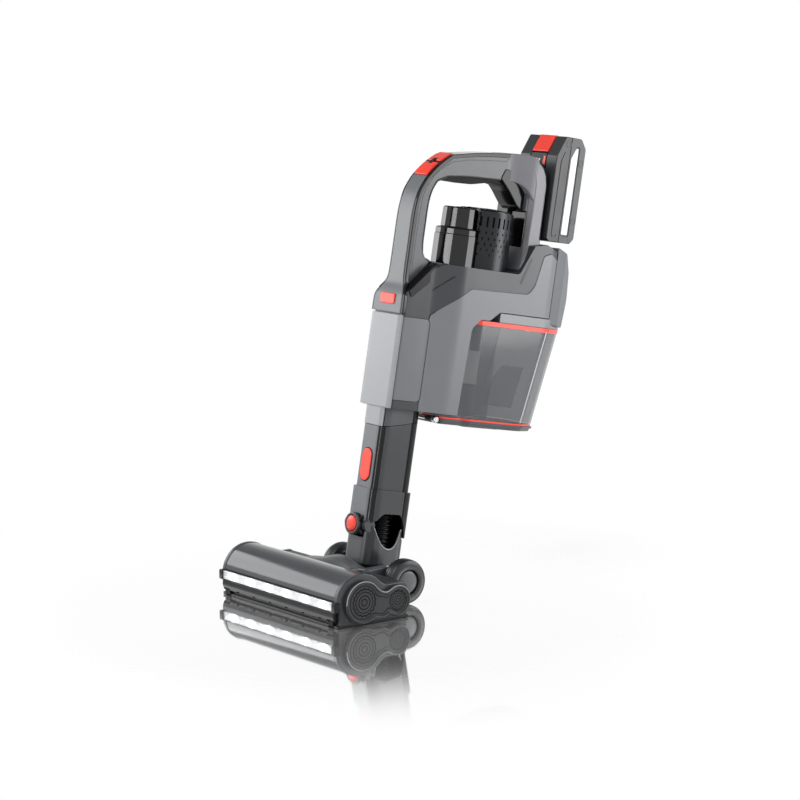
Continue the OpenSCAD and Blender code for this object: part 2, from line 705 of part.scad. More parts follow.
module handle_half_solid() difference() {
    handle_blank(2 * handle_half);
    translate([-100 + 0.05, -200, 0]) cube([100, 600, 900]);
    front_strip_blank(2 * strip_half + 0.2);
    switch_room(0.5);
    translate([0, 60, grip_low + grip_t / 2]) rotate([90, 0, 0]) cylinder(r = 7, h = 80, center = true);
}

module handle_left() color("#55575a") wand_frame() handle_half_solid();
module handle_right() color("#55575a") wand_frame() mirror([1, 0, 0]) handle_half_solid();

module handle_front_strip() color("#7c7e81") wand_frame() front_strip_blank(2 * strip_half);

module power_switch() color("#ee3a25") wand_frame()
    translate([0, switch_c[0], switch_c[1]]) rotate([switch_a, 0, 0]) {
        translate([0, 0, 6]) cube([16, 37, 7], center = true);
        rod_x(3, 16);
    }

grip_skin = 3;
module grip_insert() color("#121213") wand_frame() {
    along_x(2 * handle_half - 6) polygon(concat(
        bezier([108, grip_low + 2.8], [60, grip_low + 0.8], [40, grip_low - 1.2], [24, grip_low - 3.8], 8),
        bezier([24, grip_low - 3.8 - grip_skin], [60, grip_low - 12], [80, grip_low + 2], [108, grip_low - 1], 8)));
}

module bin_button_shape(g, deep) {
    translate([0, -trunk_front + 3.5, panel_top + 18]) rotate([90, 0, 0])
        linear_extrude(height = deep, center = true) rounded(28 + 2 * g, 13 + 2 * g, 3);
}

module bin_button() color("#ee3a25") wand_frame() bin_button_shape(0, 5);

rail_in = 22;
rail_w = 3;
rail_deep = 5;
rail_low = battery_low + 12;
module battery_dock() color("#5a5c5f") wand_frame() difference() {
    union() {
        difference() {
            along_x(2 * dock_half) polygon([
                [dock_front + 4, 430], [dock_rear, 433], [dock_rear, dock_top - 0.2],
                [dock_front + 0.2, dock_top - 14.2]]);
            translate([0, (dock_front + dock_rear) / 2, 460]) cube([2 * dock_half - 6, 16, 42], center = true);
        }
        for (sx = [-1, 1]) translate([sx * (rail_in + rail_w / 2), dock_rear + rail_deep / 2, (rail_low + dock_top - 3) / 2])
            cube([rail_w, rail_deep + 0.02, dock_top - 3 - rail_low], center = true);
    }
}

// ---- motor, filter and electronics
fan_z = roof_s + wall + 1;
fan_shaft_r = 3;
fan_r = 26;
fan_back = vent_back + vent_r - vent_wall - fan_motor_r - 0.3;
module fan_motor() color("silver") wand_frame() translate([0, fan_back, 0]) difference() {
    translate([0, 0, fan_z + 16]) cylinder(r = fan_motor_r, h = vent_top - vent_wall - fan_z - 16.3);
    translate([0, 0, fan_z]) cylinder(r = fan_shaft_r + run_gap, h = 60);
}

module impeller() color("#d0d2d4") wand_frame() translate([0, fan_back, fan_z]) {
    cylinder(r = fan_shaft_r, h = 34);
    translate([0, 0, 2]) cylinder(r = fan_r, h = 2);
    for (k = [0:8]) rotate([0, 0, 40 * k]) translate([fan_r - 11, 0, 7.5]) cube([18, 1.2, 7.2], center = true);
}

slot_n = 20;
vent_low = fan_z + 14;
module motor_housing() color("#1a1a1b") wand_frame() difference() {
    translate([0, vent_back, vent_low]) cylinder(r = vent_r, h = vent_top - vent_low);
    translate([0, vent_back, vent_low - 1]) cylinder(r = vent_r - vent_wall, h = vent_top - vent_low + 1 - vent_wall);
    for (k = [0:slot_n - 1]) translate([0, vent_back, vent_top - 18]) rotate([0, 0, k * 360 / slot_n])
        translate([vent_r, 0, 0]) cube([10, 3, 12], center = true);
    translate([0, cap_back, vent_low - 1]) cylinder(r = cap_r + side_gap, h = 140);
}

cap_step = 437;
module filter_cap() color("#1a1a1b") wand_frame() intersection() {
    translate([0, cap_back, 0]) difference() {
        union() {
            translate([0, 0, loop_floor - 22]) cylinder(r = cap_r, h = cap_step - loop_floor + 22, $fn = cap_faces);
            translate([0, 0, cap_step - 1]) cylinder(r = cap_r - 6, h = 27, $fn = cap_faces);
        }
        translate([0, 0, loop_floor - 23]) cylinder(r = cap_r - 3, h = cap_step - loop_floor + 20, $fn = cap_faces);
    }
}

module filter_element() color("#e8e6df") wand_frame() translate([0, cap_back - 3, 0]) difference() {
    translate([0, 0, loop_floor - 20]) cylinder(r = 17, h = cap_step - 3.3 - loop_floor + 20);
    translate([0, 0, loop_floor - 21]) cylinder(r = 9, h = cap_step - 8 - loop_floor + 20);
}

board_h = loop_floor - wall - 1 - roof_s - wall - 1;
module control_board() color("#1f5a34") wand_frame()
    translate([0, 160, roof_s + wall + 0.3 + board_h / 2]) cube([60, 1.6, board_h], center = true);

// ---- battery
battery_top = battery_low + battery_h;
battery_rear = battery_front + battery_d;
battery_side = [
    [battery_front + 1, battery_low + 4], [battery_front + 5, battery_low],
    [battery_rear - 6, battery_low], [battery_rear, battery_low + 7],
    [battery_rear, battery_top - 12], [battery_rear - 9, battery_top],
    [battery_front + 12, battery_top], [battery_front, battery_top - 26]];
battery_split = battery_front + 22;
latch_tilt = 26;

module battery_half(p0, p1) difference() {
    intersection() {
        along_x(battery_w) polygon(battery_side);
        translate([-100, p0, 0]) cube([200, p1 - p0, 900]);
    }
    translate([0, battery_split, battery_low + 60])
        cube([66, 2 * (cell_d + 0.6), 100], center = true);
    for (sx = [-1, 1]) translate([sx * (rail_in + rail_w / 2), battery_front, battery_low + 50])
        cube([rail_w + 0.8, 2 * rail_deep + 0.8, 102], center = true);
    translate([0, battery_front + 7, battery_top - 13]) rotate([-latch_tilt, 0, 0])
        cube([31, 19, 24], center = true);
}

module battery_case() color("#3d3e41") wand_frame() battery_half(battery_front - 1, battery_split);
module battery_cover() color("#5c5e61") wand_frame() battery_half(battery_split + 0.02, battery_rear + 1);

module battery_cells() color("#3f7fb5") wand_frame()
    for (i = [0:4], j = [0, 1])
        translate([0, battery_split + (j - 0.5) * (cell_d + 0.2), battery_low + 20 + i * (cell_d + 0.3)])
            rod_x(cell_d / 2, 65);

module battery_latch() color("#ee3a25") wand_frame()
    translate([0, battery_front + 5.5, battery_top - 13]) rotate([-latch_tilt, 0, 0])
        cube([30, 13, 22], center = true);

// ---- dust bin
bin_half = body_half - 4.6;
bin_side = concat(
    [[bin_front, bin_low + 1], [bin_front, bin_top - 2]],
    [[232, bin_top - 2], [233, bin_top - 30], [214, bin_low + 6], [208, bin_low + 1]]);

function bin_plan(g) = let (h = bin_half - g) [
    [-h, bin_front + g], [-h, 78], [-h - 4.4, 86], [-h - 4.4, 186], [-h + 8, 214], [-h + 24, 236 - g],
    [h - 24, 236 - g], [h - 8, 214], [h + 4.4, 186], [h + 4.4, 86], [h, 78], [h, bin_front + g]];

module bin_block(g, low, top) {
    translate([0, 0, low]) linear_extrude(height = top - low) polygon(bin_plan(g));
}

module bin_cup() color("#8a8c90", 0.45) wand_frame() difference() {
    intersection() {
        bin_block(0, bin_low, bin_top);
        along_x(200) polygon(bin_side);
    }
    intersection() {
        bin_block(bin_wall, bin_low - 1, bin_top + 1);
        along_x(200) polygon([for (q = bin_side) [
            q[0] + (q[0] < 100 ? bin_wall : -bin_wall), q[1] + (q[1] < 240 ? -2 : (q[1] > 310 ? 4 : 0))]]);
    }
}

module bin_seal() color("#e8392a") wand_frame() {
    difference() {
        intersection() {
            bin_block(0.4, bin_top - 1.9, bin_top + 1);
            along_x(200) polygon([[bin_front, 300], [bin_front, 340], [231, 340], [231, 300]]);
        }
        bin_block(6, bin_top - 3, bin_top + 3);
    }
}

lid_hinge_p = 41;
lid_hinge_s = bin_low - 4;
module bin_lid() color("#77797c") wand_frame() difference() {
    union() {
        intersection() {
            bin_block(0.6, bin_low - lid_t, bin_low + 0.8);
            along_x(200) polygon([[bin_front + 3.4, bin_low + 0.8], [207, bin_low + 0.8], [207, bin_low - 3],
                [196, bin_low - lid_t + 2], [150, bin_low - lid_t], [bin_front + 3.4, bin_low - lid_t + 3]]);
        }
        for (sx = [-1, 1]) translate([sx * 24, 0, 0]) {
            translate([0, lid_hinge_p, lid_hinge_s]) rod_x(3.5, 12);
            translate([0, lid_hinge_p + 4, lid_hinge_s]) cube([12, 8, 4], center = true);
        }
    }
    translate([0, lid_hinge_p, lid_hinge_s]) rod_x(lid_pin_r + run_gap, 100);
}

module lid_pin() color("silver") wand_frame() translate([0, lid_hinge_p, lid_hinge_s]) rod_x(lid_pin_r, 66);

module cyclone() color("#8c8e91") wand_frame() translate([0, cyclone_back, 0]) difference() {
    translate([0, 0, bin_low + 1.2]) cylinder(r = cyclone_r, h = bin_top - bin_low - 4);
    translate([0, 0, bin_low]) cylinder(r = cyclone_r - 2, h = bin_top - bin_low - 8);
    translate([0, 0, bin_low]) cylinder(r = 8, h = bin_top - bin_low + 8);
}

sole_plate();
head_housing();
head_cover();
led_board();
led_lens();
end_cap_left();
end_cap_right();
head_motor();
drive_belt();
brush_bearings();
brush_core();
brush_bristles();
motor_pulley();
front_rollers();
rear_fork();
wheel_axle();
tyre_left();
hub_left();
tyre_right();
hub_right();
neck_yoke();
neck_hose();
swivel_cup();
knee_hose();
knee_pin();
knee_collar();
knee_button();
wand_liner();
wand_front_shell();
wand_rear_shell();
wand_button();
body_nozzle();
trunk_cover();
housing_left();
housing_right();
side_panel_left();
side_panel_right();
rear_cover();
handle_left();
handle_right();
handle_front_strip();
grip_insert();
power_switch();
bin_button();
battery_dock();
fan_motor();
impeller();
motor_housing();
filter_cap();
filter_element();
control_board();
battery_case();
battery_cover();
battery_cells();
battery_latch();
bin_cup();
bin_seal();
bin_lid();
lid_pin();
cyclone();
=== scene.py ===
"""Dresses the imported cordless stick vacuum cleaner: one mesh piece for each visible moulding."""
import math

import bmesh
import bpy
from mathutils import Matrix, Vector


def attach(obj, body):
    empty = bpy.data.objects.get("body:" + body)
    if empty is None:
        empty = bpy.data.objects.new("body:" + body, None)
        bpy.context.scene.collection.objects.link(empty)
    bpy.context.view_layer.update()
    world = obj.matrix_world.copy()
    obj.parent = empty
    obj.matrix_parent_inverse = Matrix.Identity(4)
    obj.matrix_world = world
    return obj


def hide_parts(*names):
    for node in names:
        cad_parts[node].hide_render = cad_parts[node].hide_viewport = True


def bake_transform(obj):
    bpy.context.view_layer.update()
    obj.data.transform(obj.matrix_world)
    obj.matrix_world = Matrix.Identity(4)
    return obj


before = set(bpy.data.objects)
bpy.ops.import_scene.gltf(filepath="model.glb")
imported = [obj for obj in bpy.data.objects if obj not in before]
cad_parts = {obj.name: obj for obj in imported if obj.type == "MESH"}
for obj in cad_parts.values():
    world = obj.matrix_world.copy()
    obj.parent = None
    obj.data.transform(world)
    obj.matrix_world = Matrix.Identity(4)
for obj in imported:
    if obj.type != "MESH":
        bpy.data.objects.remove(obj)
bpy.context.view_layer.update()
scene = bpy.context.scene
MM = 0.001

# ---- camera at the photograph's place
cam_data = bpy.data.cameras.new("camera")
cam_data.sensor_width = 36
cam_data.lens = 123.25
cam = bpy.data.objects.new("camera", cam_data)
scene.collection.objects.link(cam)
cam.location = (2.640, -1.922, 0.768)
cam.rotation_euler = (math.radians(81.04), 0, math.radians(52.08))
scene.camera = cam

# ---- the two frames, in mm: the head's own, and the leaning wand's (x, p behind, s along)
LEAN = math.radians(10)
AXLE_Y, AXLE_Z, WAND_FRONT = 92, 28, 4
SIDES = (("left", 1), ("right", -1))


def head(x, y, z):
    return Vector((x, y, z)) * MM


def wand_yz(p, s):
    """Where the wand's (p, s) lies in the head's frame."""
    q = p - WAND_FRONT
    return (AXLE_Y + q * math.cos(LEAN) + s * math.sin(LEAN),
            AXLE_Z - q * math.sin(LEAN) + s * math.cos(LEAN))


def wand(x, p, s):
    return head(x, *wand_yz(p, s))


def wand_up(s, x, p):
    """wand() for a prism that runs along the wand."""
    return wand(x, p, s)


# ---- materials
def linear(hexa):
    out = []
    for i in (1, 3, 5):
        c = int(hexa[i:i + 2], 16) / 255
        out.append(c / 12.92 if c <= 0.04045 else ((c + 0.055) / 1.055) ** 2.4)
    return out + [1.0]


GRAIN_DEPTH = 0.0002


def plastic(name, colour, rough=0.42, coat=0.0, grain=0.05, grain_size=2400, mottle=0.06,
            metallic=0.0, alpha=1.0, emission=0.0, spec=0.5):
    m = bpy.data.materials.new(name)
    m.use_nodes = True
    nt = m.node_tree
    b = nt.nodes["Principled BSDF"]
    col = linear(colour)
    b.inputs["Metallic"].default_value = metallic
    b.inputs["Alpha"].default_value = alpha
    b.inputs["Coat Weight"].default_value = coat
    b.inputs["Coat Roughness"].default_value = 0.06
    b.inputs["Specular IOR Level"].default_value = spec
    tc = nt.nodes.new("ShaderNodeTexCoord")
    fine = nt.nodes.new("ShaderNodeTexNoise")
    fine.inputs["Scale"].default_value = grain_size
    fine.inputs["Detail"].default_value = 3
    broad = nt.nodes.new("ShaderNodeTexNoise")
    broad.inputs["Scale"].default_value = 34
    broad.inputs["Detail"].default_value = 4
    for n in (fine, broad):
        nt.links.new(tc.outputs["Object"], n.inputs["Vector"])
    mix = nt.nodes.new("ShaderNodeMix")
    mix.data_type = "RGBA"
    mix.inputs[6].default_value = [c * (1 - mottle) for c in col[:3]] + [1]
    mix.inputs[7].default_value = [min(1, c * (1 + mottle)) for c in col[:3]] + [1]
    nt.links.new(broad.outputs["Fac"], mix.inputs[0])
    nt.links.new(mix.outputs[2], b.inputs["Base Color"])
    rng = nt.nodes.new("ShaderNodeMapRange")
    rng.inputs["To Min"].default_value = max(0.02, rough - 0.05)
    rng.inputs["To Max"].default_value = rough + 0.05
    nt.links.new(broad.outputs["Fac"], rng.inputs["Value"])
    nt.links.new(rng.outputs["Result"], b.inputs["Roughness"])
    if grain:
        bump = nt.nodes.new("ShaderNodeBump")
        bump.inputs["Strength"].default_value = grain
        bump.inputs["Distance"].default_value = GRAIN_DEPTH
        nt.links.new(fine.outputs["Fac"], bump.inputs["Height"])
        nt.links.new(bump.outputs["Normal"], b.inputs["Normal"])
    if emission:
        b.inputs["Emission Color"].default_value = col
        b.inputs["Emission Strength"].default_value = emission
    return m


COVER = plastic("cover_gloss", "#3f4144", 0.13, 0.0, 0.01)
DECK = plastic("deck_dark", "#2c2e31", 0.4, 0.0, 0.06, spec=0.3)
RIM = plastic("rim_gloss", "#3c3e41", 0.3, 0.0, 0.02, spec=0.4)
CAP = plastic("end_cap_black", "#292a2d", 0.36, 0.0, 0.08, spec=0.35)
CAP_LINE = plastic("cap_engraving", "#070708", 0.5, 0.0, 0.02, spec=0.1)
# pale grey painted highlight along the top edge of the end caps
CAP_HIGHLIGHT = plastic("cap_painted_highlight", "#a2a5a8", 0.3, 0.0, 0.02)
BLACK = plastic("gloss_black", "#0a0a0c", 0.14, 0.0, 0.0, spec=0.3)
VENT = plastic("vent_dark", "#26272a", 0.24, 0.0, 0.0, metallic=0.5, spec=0.4)
CAP_GLOSS = plastic("filter_cap_gloss", "#09090b", 0.1, 0.0, 0.0, spec=0.45)
SATIN_BLACK = plastic("satin_black", "#0f0f11", 0.34, 0.0, 0.05, spec=0.22)
RUBBER = plastic("rubber_black", "#151517", 0.6, 0.0, 0.25, 1500, spec=0.2)
TYRE = plastic("tyre_rubber", "#1d1e20", 0.36, 0.0, 0.2, 1200, spec=0.5)
DARK = plastic("housing_dark", "#35373a", 0.34, 0.0, 0.06)
CUP_GREY = plastic("bezel_grey", "#47494c", 0.36, 0.05, 0.04, spec=0.35)
# painted dark reflection for the cup's front corners
CUP_DARK_REFLECTION = plastic("cup_painted_dark_reflection", "#2d2e31", 0.3, 0.1, 0.04, spec=0.35)
SIDE_DARK = plastic("wand_side_dark", "#36383b", 0.33, 0.0, 0.04)
MID = plastic("shell_mid", "#484b4e", 0.34)
FRONT = plastic("shell_front", "#64676a", 0.36)
LIGHT = plastic("trunk_light", "#8e9093", 0.36, 0.0, 0.04)
PANEL = plastic("side_panel", "#717377", 0.36)
LOGO = plastic("side_inset", "#6a6d71", 0.33, 0.0, 0.03)
REAR = plastic("rear_band", "#62666a", 0.38)
STRUT = plastic("rear_strut", "#727277", 0.36)
RED = plastic("signal_red", "#ee3620", 0.36, 0.2, 0.05)
RED_DARK = plastic("seal_red", "#d33426", 0.5)
# near-black for joint lines and grooves, and painted shade at the floors of the vent holes
LINE_AND_SHADE = plastic("joint_line_and_painted_shade", "#1a1b1d", 0.6, 0.0, 0.0, spec=0.15)
# pale painted highlight for the cup's rim
RIM_HIGHLIGHT = plastic("cup_rim_painted_highlight", "#b4b7ba", 0.3, 0.1, 0.02)
CASE = plastic("battery_dark", "#232528", 0.4, 0.0, 0.08)
CASE_GREY = plastic("battery_grey", "#3c3e41", 0.42, 0.0, 0.08)
LABEL = plastic("label_white", "#e6e6e6", 0.45, 0.0, 0.02)
STEEL = plastic("steel", "#c9cacc", 0.28, 0.0, 0.02, metallic=1.0)
CHROME = plastic("reflector", "#d9dbdd", 0.2, 0.2, 0.02)
HUB = plastic("hub_grey", "#5c5e61", 0.42, 0.0, 0.06)
# white filter mesh with a faint painted glow; it is no lamp
MESH = plastic("filter_mesh_painted_glow", "#f4f4f0", 0.6, 0.0, 0.3, 1100, 0.1, emission=0.12)
CYCLONE = plastic("cyclone_grey", "#9c9fa2", 0.36, 0.1, 0.04)
BRISTLE = plastic("bristle_red", "#b8402c", 0.75, 0.0, 0.9, 1800, 0.2)
BOARD = plastic("board_green", "#1f5a34", 0.5, 0.1, 0.2)
CELL = plastic("cell_wrap", "#3f7fb5", 0.35, 0.2, 0.02)
PAPER = plastic("filter_paper", "#d9d6cc", 0.8, 0.0, 0.5, 900)
GLOW = plastic("lamp_glow", "#ffffff", 0.3, 0.0, 0.0, emission=2.2)
# faint painted glow on the lamp reflector, standing for the lamps' light on it
REFLECTOR_GLOW = plastic("lamp_reflector_painted_glow", "#e8eaec", 0.25, 0.1, 0.05, emission=0.12)
LENS = plastic("lamp_lens", "#e9ecee", 0.12, 0.4, 0.0, alpha=0.45)
SMOKE = plastic("smoked_clear", "#5f6266", 0.1, 0.0, 0.0, mottle=0.0, alpha=0.5)
BIN_RIM = plastic("bin_rim_grey", "#737679", 0.25, 0.1, 0.03)
# pale smoked clear: the tone of the bin's fin, and a painted highlight down the bin's side corners
PALE_SMOKE_AND_HIGHLIGHT = plastic("pale_smoke_and_painted_highlight", "#c9cccf", 0.15, 0.5, 0.0, alpha=0.75)


# ---- mesh building
def raw(name, verts, faces, weld=False):
    """A mesh object in metres with its normals outwards, and its double points welded where asked."""
    me = bpy.data.meshes.new(name)
    me.from_pydata([tuple(v) for v in verts], [], faces)
    bm = bmesh.new()
    bm.from_mesh(me)
    if weld:
        bmesh.ops.remove_doubles(bm, verts=bm.verts, dist=1e-6)
    bmesh.ops.recalc_face_normals(bm, faces=bm.faces)
    bm.to_mesh(me)
    bm.free()
    o = bpy.data.objects.new(name, me)
    scene.collection.objects.link(o)
    return o


def build(name, verts, faces, mat, body, bevel=0.0, seg=3, angle=32, stands=(), mats=None, index=None):
    """One piece: its mesh, a soft edge of bevel mm, and the body it rides on."""
    o = raw(name, verts, faces, True)
    for m in mats or [mat]:
        o.data.materials.append(m)
    if index and len(index) == len(o.data.polygons):
        o.data.polygons.foreach_set("material_index", index)
    finish_piece(o, body, bevel, seg, angle, stands)
    return o


def finish_piece(o, body, bevel=0.0, seg=3, angle=32, stands=(), mat=None):
    me = o.data
    if mat:
        me.materials.clear()
        me.materials.append(mat)
    me.shade_smooth()
    if bevel:
        mod = o.modifiers.new("soft_edge", "BEVEL")
        mod.width = bevel * MM
        mod.segments = seg
        mod.limit_method = "ANGLE"
        mod.angle_limit = math.radians(angle)
        mod.harden_normals = True
        mod.use_clamp_overlap = True
    else:
        me.set_sharp_from_angle(angle=math.radians(angle))
    if body:
        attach(o, body)
    if stands:
        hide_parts(*stands)


def apply_modifiers(o):
    bpy.context.view_layer.update()
    me = bpy.data.meshes.new_from_object(o.evaluated_get(bpy.context.evaluated_depsgraph_get()))
    o.modifiers.clear()
    o.data = me


def carve(o, other, op="DIFFERENCE"):
    """o with the other object cut away, added or kept in common; the other one goes."""
    mod = o.modifiers.new("cut", "BOOLEAN")
    mod.operation = op
    mod.solver = "EXACT"
    mod.object = other
    apply_modifiers(o)
    bpy.data.objects.remove(other)
    return o


def skin(rows, n, base=0, wrap=False):
    """Quads between stacked closed rows of n points; with wrap, also from the last row to the first."""
    return [[base + k * n + i, base + k * n + (i + 1) % n,
             base + (k + 1) % rows * n + (i + 1) % n, base + (k + 1) % rows * n + i]
            for k in range(rows if wrap else rows - 1) for i in range(n)]


def ends(rows, n, base=0):
    return [[base + i for i in range(n)], [base + (rows - 1) * n + i for i in range(n)]]


def tube(rows, n, base=0):
    return ends(rows, n, base) + skin(rows, n, base)


def merged(parts):
    """One mesh from several pairs of points and faces."""
    verts, faces = [], []
    for v, f in parts:
        faces += [[k + len(verts) for k in face] for face in f]
        verts += v
    return verts, faces


def circle(r, n, cx=0, cy=0, turn=0.0):
    return [(cx + r * math.cos(2 * math.pi * (k + turn) / n), cy + r * math.sin(2 * math.pi * (k + turn) / n))
            for k in range(n)]


def prism_data(pts, x0, x1, at):
    return [at(x, a, b) for x in (x0, x1) for a, b in pts], tube(2, len(pts))


def prism(name, pts, x0, x1, at, mat, body, bevel=0.6, seg=3, stands=(), angle=32):
    return build(name, *prism_data(pts, x0, x1, at), mat, body, bevel, seg, angle, stands)


def loft(name, sections, at, mat, body, bevel=0.6, seg=3, stands=(), angle=32):
    """Sections are (s, [(x, p), ...]) with the same count of points."""
    verts = [at(x, p, s) for s, ring in sections for x, p in ring]
    return build(name, verts, tube(len(sections), len(sections[0][1])), mat, body, bevel, seg, angle, stands)


def lathe(name, prof, spot, mat, body, axis="s", seg=72, stands=(), closed=False, angle=32):
    """prof is (radius, height) round an axis along x (spot = y, z), p (spot = x, s) or s (spot = x, p)."""
    at = {"x": lambda u, v, h: head(h, u, v), "p": lambda u, v, h: wand(u, h, v), "s": wand}[axis]
    verts = [at(u, v, h) for r, h in prof for u, v in circle(r, seg, *spot, 0.5)]
    faces = skin(len(prof), seg, wrap=closed) + ([] if closed else ends(len(prof), seg))
    return build(name, verts, faces, mat, body, 0.0, 2, angle, stands)


def fillet(corners, n=7):
    """A polygon from (a, b, radius) corners, each rounded."""
    out = []
    count = len(corners)
    for i, c in enumerate(corners):
        r = c[2] if len(c) > 2 else 0
        q = Vector(c[:2])
        a, b = Vector(corners[i - 1][:2]), Vector(corners[(i + 1) % count][:2])
        u, v = (a - q), (b - q)
        lu, lv = u.length, v.length
        u.normalize(), v.normalize()
        ang = u.angle(v)
        if r <= 0 or ang > math.pi - 0.02:
            out.append(tuple(q))
            continue
        d = min(r / math.tan(ang / 2), lu * 0.48, lv * 0.48)
        rr = d * math.tan(ang / 2)
        mid = q + (u + v).normalized() * (rr / math.sin(ang / 2))
        s0, s1 = q + u * d - mid, q + v * d - mid
        a0 = math.atan2(s0.y, s0.x)
        da = (math.atan2(s1.y, s1.x) - a0 + math.pi) % (2 * math.pi) - math.pi
        for k in range(n + 1):
            t = a0 + da * k / n
            out.append((mid.x + rr * math.cos(t), mid.y + rr * math.sin(t)))
    return out


def bezier(a, b, c, d, n=12):
    return [tuple(((1 - t) ** 3) * Vector(a) + 3 * t * (1 - t) ** 2 * Vector(b)
                  + 3 * t * t * (1 - t) * Vector(c) + t ** 3 * Vector(d))
            for t in [k / n for k in range(n + 1)]]


def between(keys, p):
    """The value at p on straight lines through (p, value) keys, and the last value after them."""
    for (a, va), (b, vb) in zip(keys, keys[1:]):
        if p <= b:
            return va + (vb - va) * (p - a) / (b - a)
    return keys[-1][1]


def smooth_path(keys, steps=6):
    """Catmull-Rom through keys of any length of tuple."""
    out = []
    for i in range(len(keys) - 1):
        p0, p1 = keys[max(i - 1, 0)], keys[i]
        p2, p3 = keys[i + 1], keys[min(i + 2, len(keys) - 1)]
        for k in range(steps):
            t = k / steps
            out.append(tuple(0.5 * (2 * b + (c - a) * t + (2 * a - 5 * b + 4 * c - d) * t * t
                                    + (3 * b - a - 3 * c + d) * t ** 3)
                             for a, b, c, d in zip(p0, p1, p2, p3)))
    out.append(tuple(keys[-1]))
    return out


def rrect(w, d, r, n=10, step=2.0):
    """Rounded rectangle (x, p), anticlockwise from the middle of the front."""
    pts = []

    def line(a, b):
        m = max(1, int(math.dist(a, b) / step))
        for k in range(m):
            pts.append((a[0] + (b[0] - a[0]) * k / m, a[1] + (b[1] - a[1]) * k / m))
    hw, hd = w / 2, d / 2
    line((0, -hd), (hw - r, -hd))
    for cx, cy, a0 in ((hw - r, -hd + r, -90), (hw - r, hd - r, 0), (-hw + r, hd - r, 90),
            (-hw + r, -hd + r, 180)):
        for k in range(n):
            a = math.radians(a0 + 90 * k / n)
            pts.append((cx + r * math.cos(a), cy + r * math.sin(a)))
        nxt = {-90: ((hw, -hd + r), (hw, hd - r)), 0: ((hw - r, hd), (-hw + r, hd)),
               90: ((-hw, hd - r), (-hw, -hd + r)), 180: ((-hw + r, -hd), (0, -hd))}[a0]
        line(*nxt)
    return pts


def wall(name, outline, t, low, high, mat, body, closed=True, bevel=0.5, stands=(), seg=2, mats=None,
        paint=None):
    """A wall t thick inside an outline of (x, p), from low(x, p) to high(x, p) along the wand."""
    n = len(outline)
    inner = []
    for i, (x, p) in enumerate(outline):
        a = outline[i - 1] if closed or i else outline[i]
        b = outline[(i + 1) % n] if closed or i < n - 1 else outline[i]
        dx, dp = b[0] - a[0], b[1] - a[1]
        ln = math.hypot(dx, dp) or 1
        inner.append((x - dp / ln * t, p + dx / ln * t))
    verts = []
    for ring, f in ((outline, low), (outline, high), (inner, high), (inner, low)):
        for (x, p), (ox, op) in zip(ring, outline):
            verts.append(wand(x, p, f(ox, op)))
    faces = []
    for i in range(n if closed else n - 1):
        j = (i + 1) % n
        for k in range(4):
            l = (k + 1) % 4
            faces.append([k * n + i, k * n + j, l * n + j, l * n + i])
    if not closed:
        faces += [[0, n, 2 * n, 3 * n], [n - 1, 2 * n - 1, 3 * n - 1, 4 * n - 1]]
    index = [paint(*outline[i // 4]) for i in range(len(faces))] if paint else None
    return build(name, verts, faces, mat, body, bevel, seg, 40, stands, mats, index)


def part_of(outline, test):
    """The stretch of a closed outline whose points pass, in order."""
    n = len(outline)
    ok = [test(x, p) for x, p in outline]
    start = next(i for i in range(n) if ok[i] and not ok[i - 1])
    out = []
    for k in range(n):
        i = (start + k) % n
        if not ok[i]:
            break
        out.append(outline[i])
    return out


def band(name, stations, mat, body, bevel=0.8, seg=3, stands=(), angle=32):
    """Stations are (outer p, outer s, inner p, inner s, half width)."""
    verts = [wand(x, p, s) for po, so, pi, si, hw in stations
             for x, p, s in ((-hw, po, so), (hw, po, so), (hw, pi, si), (-hw, pi, si))]
    n = len(stations)
    return build(name, verts, skin(n, 4) + ends(n, 4), mat, body, bevel, seg, angle, stands)


def along(path, depth, hw, lift=0.0):
    """Stations for band() from an open path of (p, s): lifted outwards, then depth deep."""
    out = []
    for i, (p, s) in enumerate(path):
        a, b = path[max(i - 1, 0)], path[min(i + 1, len(path) - 1)]
        dp, ds = b[0] - a[0], b[1] - a[1]
        ln = math.hypot(dp, ds) or 1
        nx, ny = -ds / ln, dp / ln
        w = hw[i] if isinstance(hw, list) else hw
        out.append((p + nx * lift, s + ny * lift, p - nx * depth, s - ny * depth, w))
    return out


def both_sides(make):
    for side, sx in SIDES:
        make(side, sx)


def prism_pair(name, pts, x0, x1, at, mat, body, bevel, seg=3):
    both_sides(lambda side, sx: prism(f"{name}_{side}", pts, sx * x0, sx * x1, at, mat, body, bevel, seg))


def lathe_pair(name, prof, spot, mat, body, seg=72):
    """Two turned pieces on an axis along x."""
    both_sides(lambda side, sx: lathe(f"{name}_{side}", [(r, sx * h) for r, h in prof], spot, mat, body, "x",
        seg))


def dress(node, mat, bevel=0.0):
    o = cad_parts[node]
    o.data.materials.clear()
    o.data.materials.append(mat)
    if bevel:
        mod = o.modifiers.new("soft_edge", "BEVEL")
        mod.width, mod.segments = bevel * MM, 2
        mod.limit_method, mod.angle_limit = "ANGLE", math.radians(40)
        mod.harden_normals = True


# ================= floor head
CROWN_Y, CROWN_Z, CROWN_END = -16, 28, 38
CROWN_RY, CROWN_RZ = 36, 33.1
HEAD_X = 112.5


def crown(grow, start=168, end=CROWN_END, step=4):
    """The cover's round top, grow mm out, from the front edge to its back edge."""
    m = int(abs(start - end) / step)
    angles = [math.radians(start + (end - start) * k / m) for k in range(m + 1)]
    return [(CROWN_Y + (CROWN_RY + grow) * math.cos(a), CROWN_Z + (CROWN_RZ + grow) * math.sin(a))
        for a in angles]


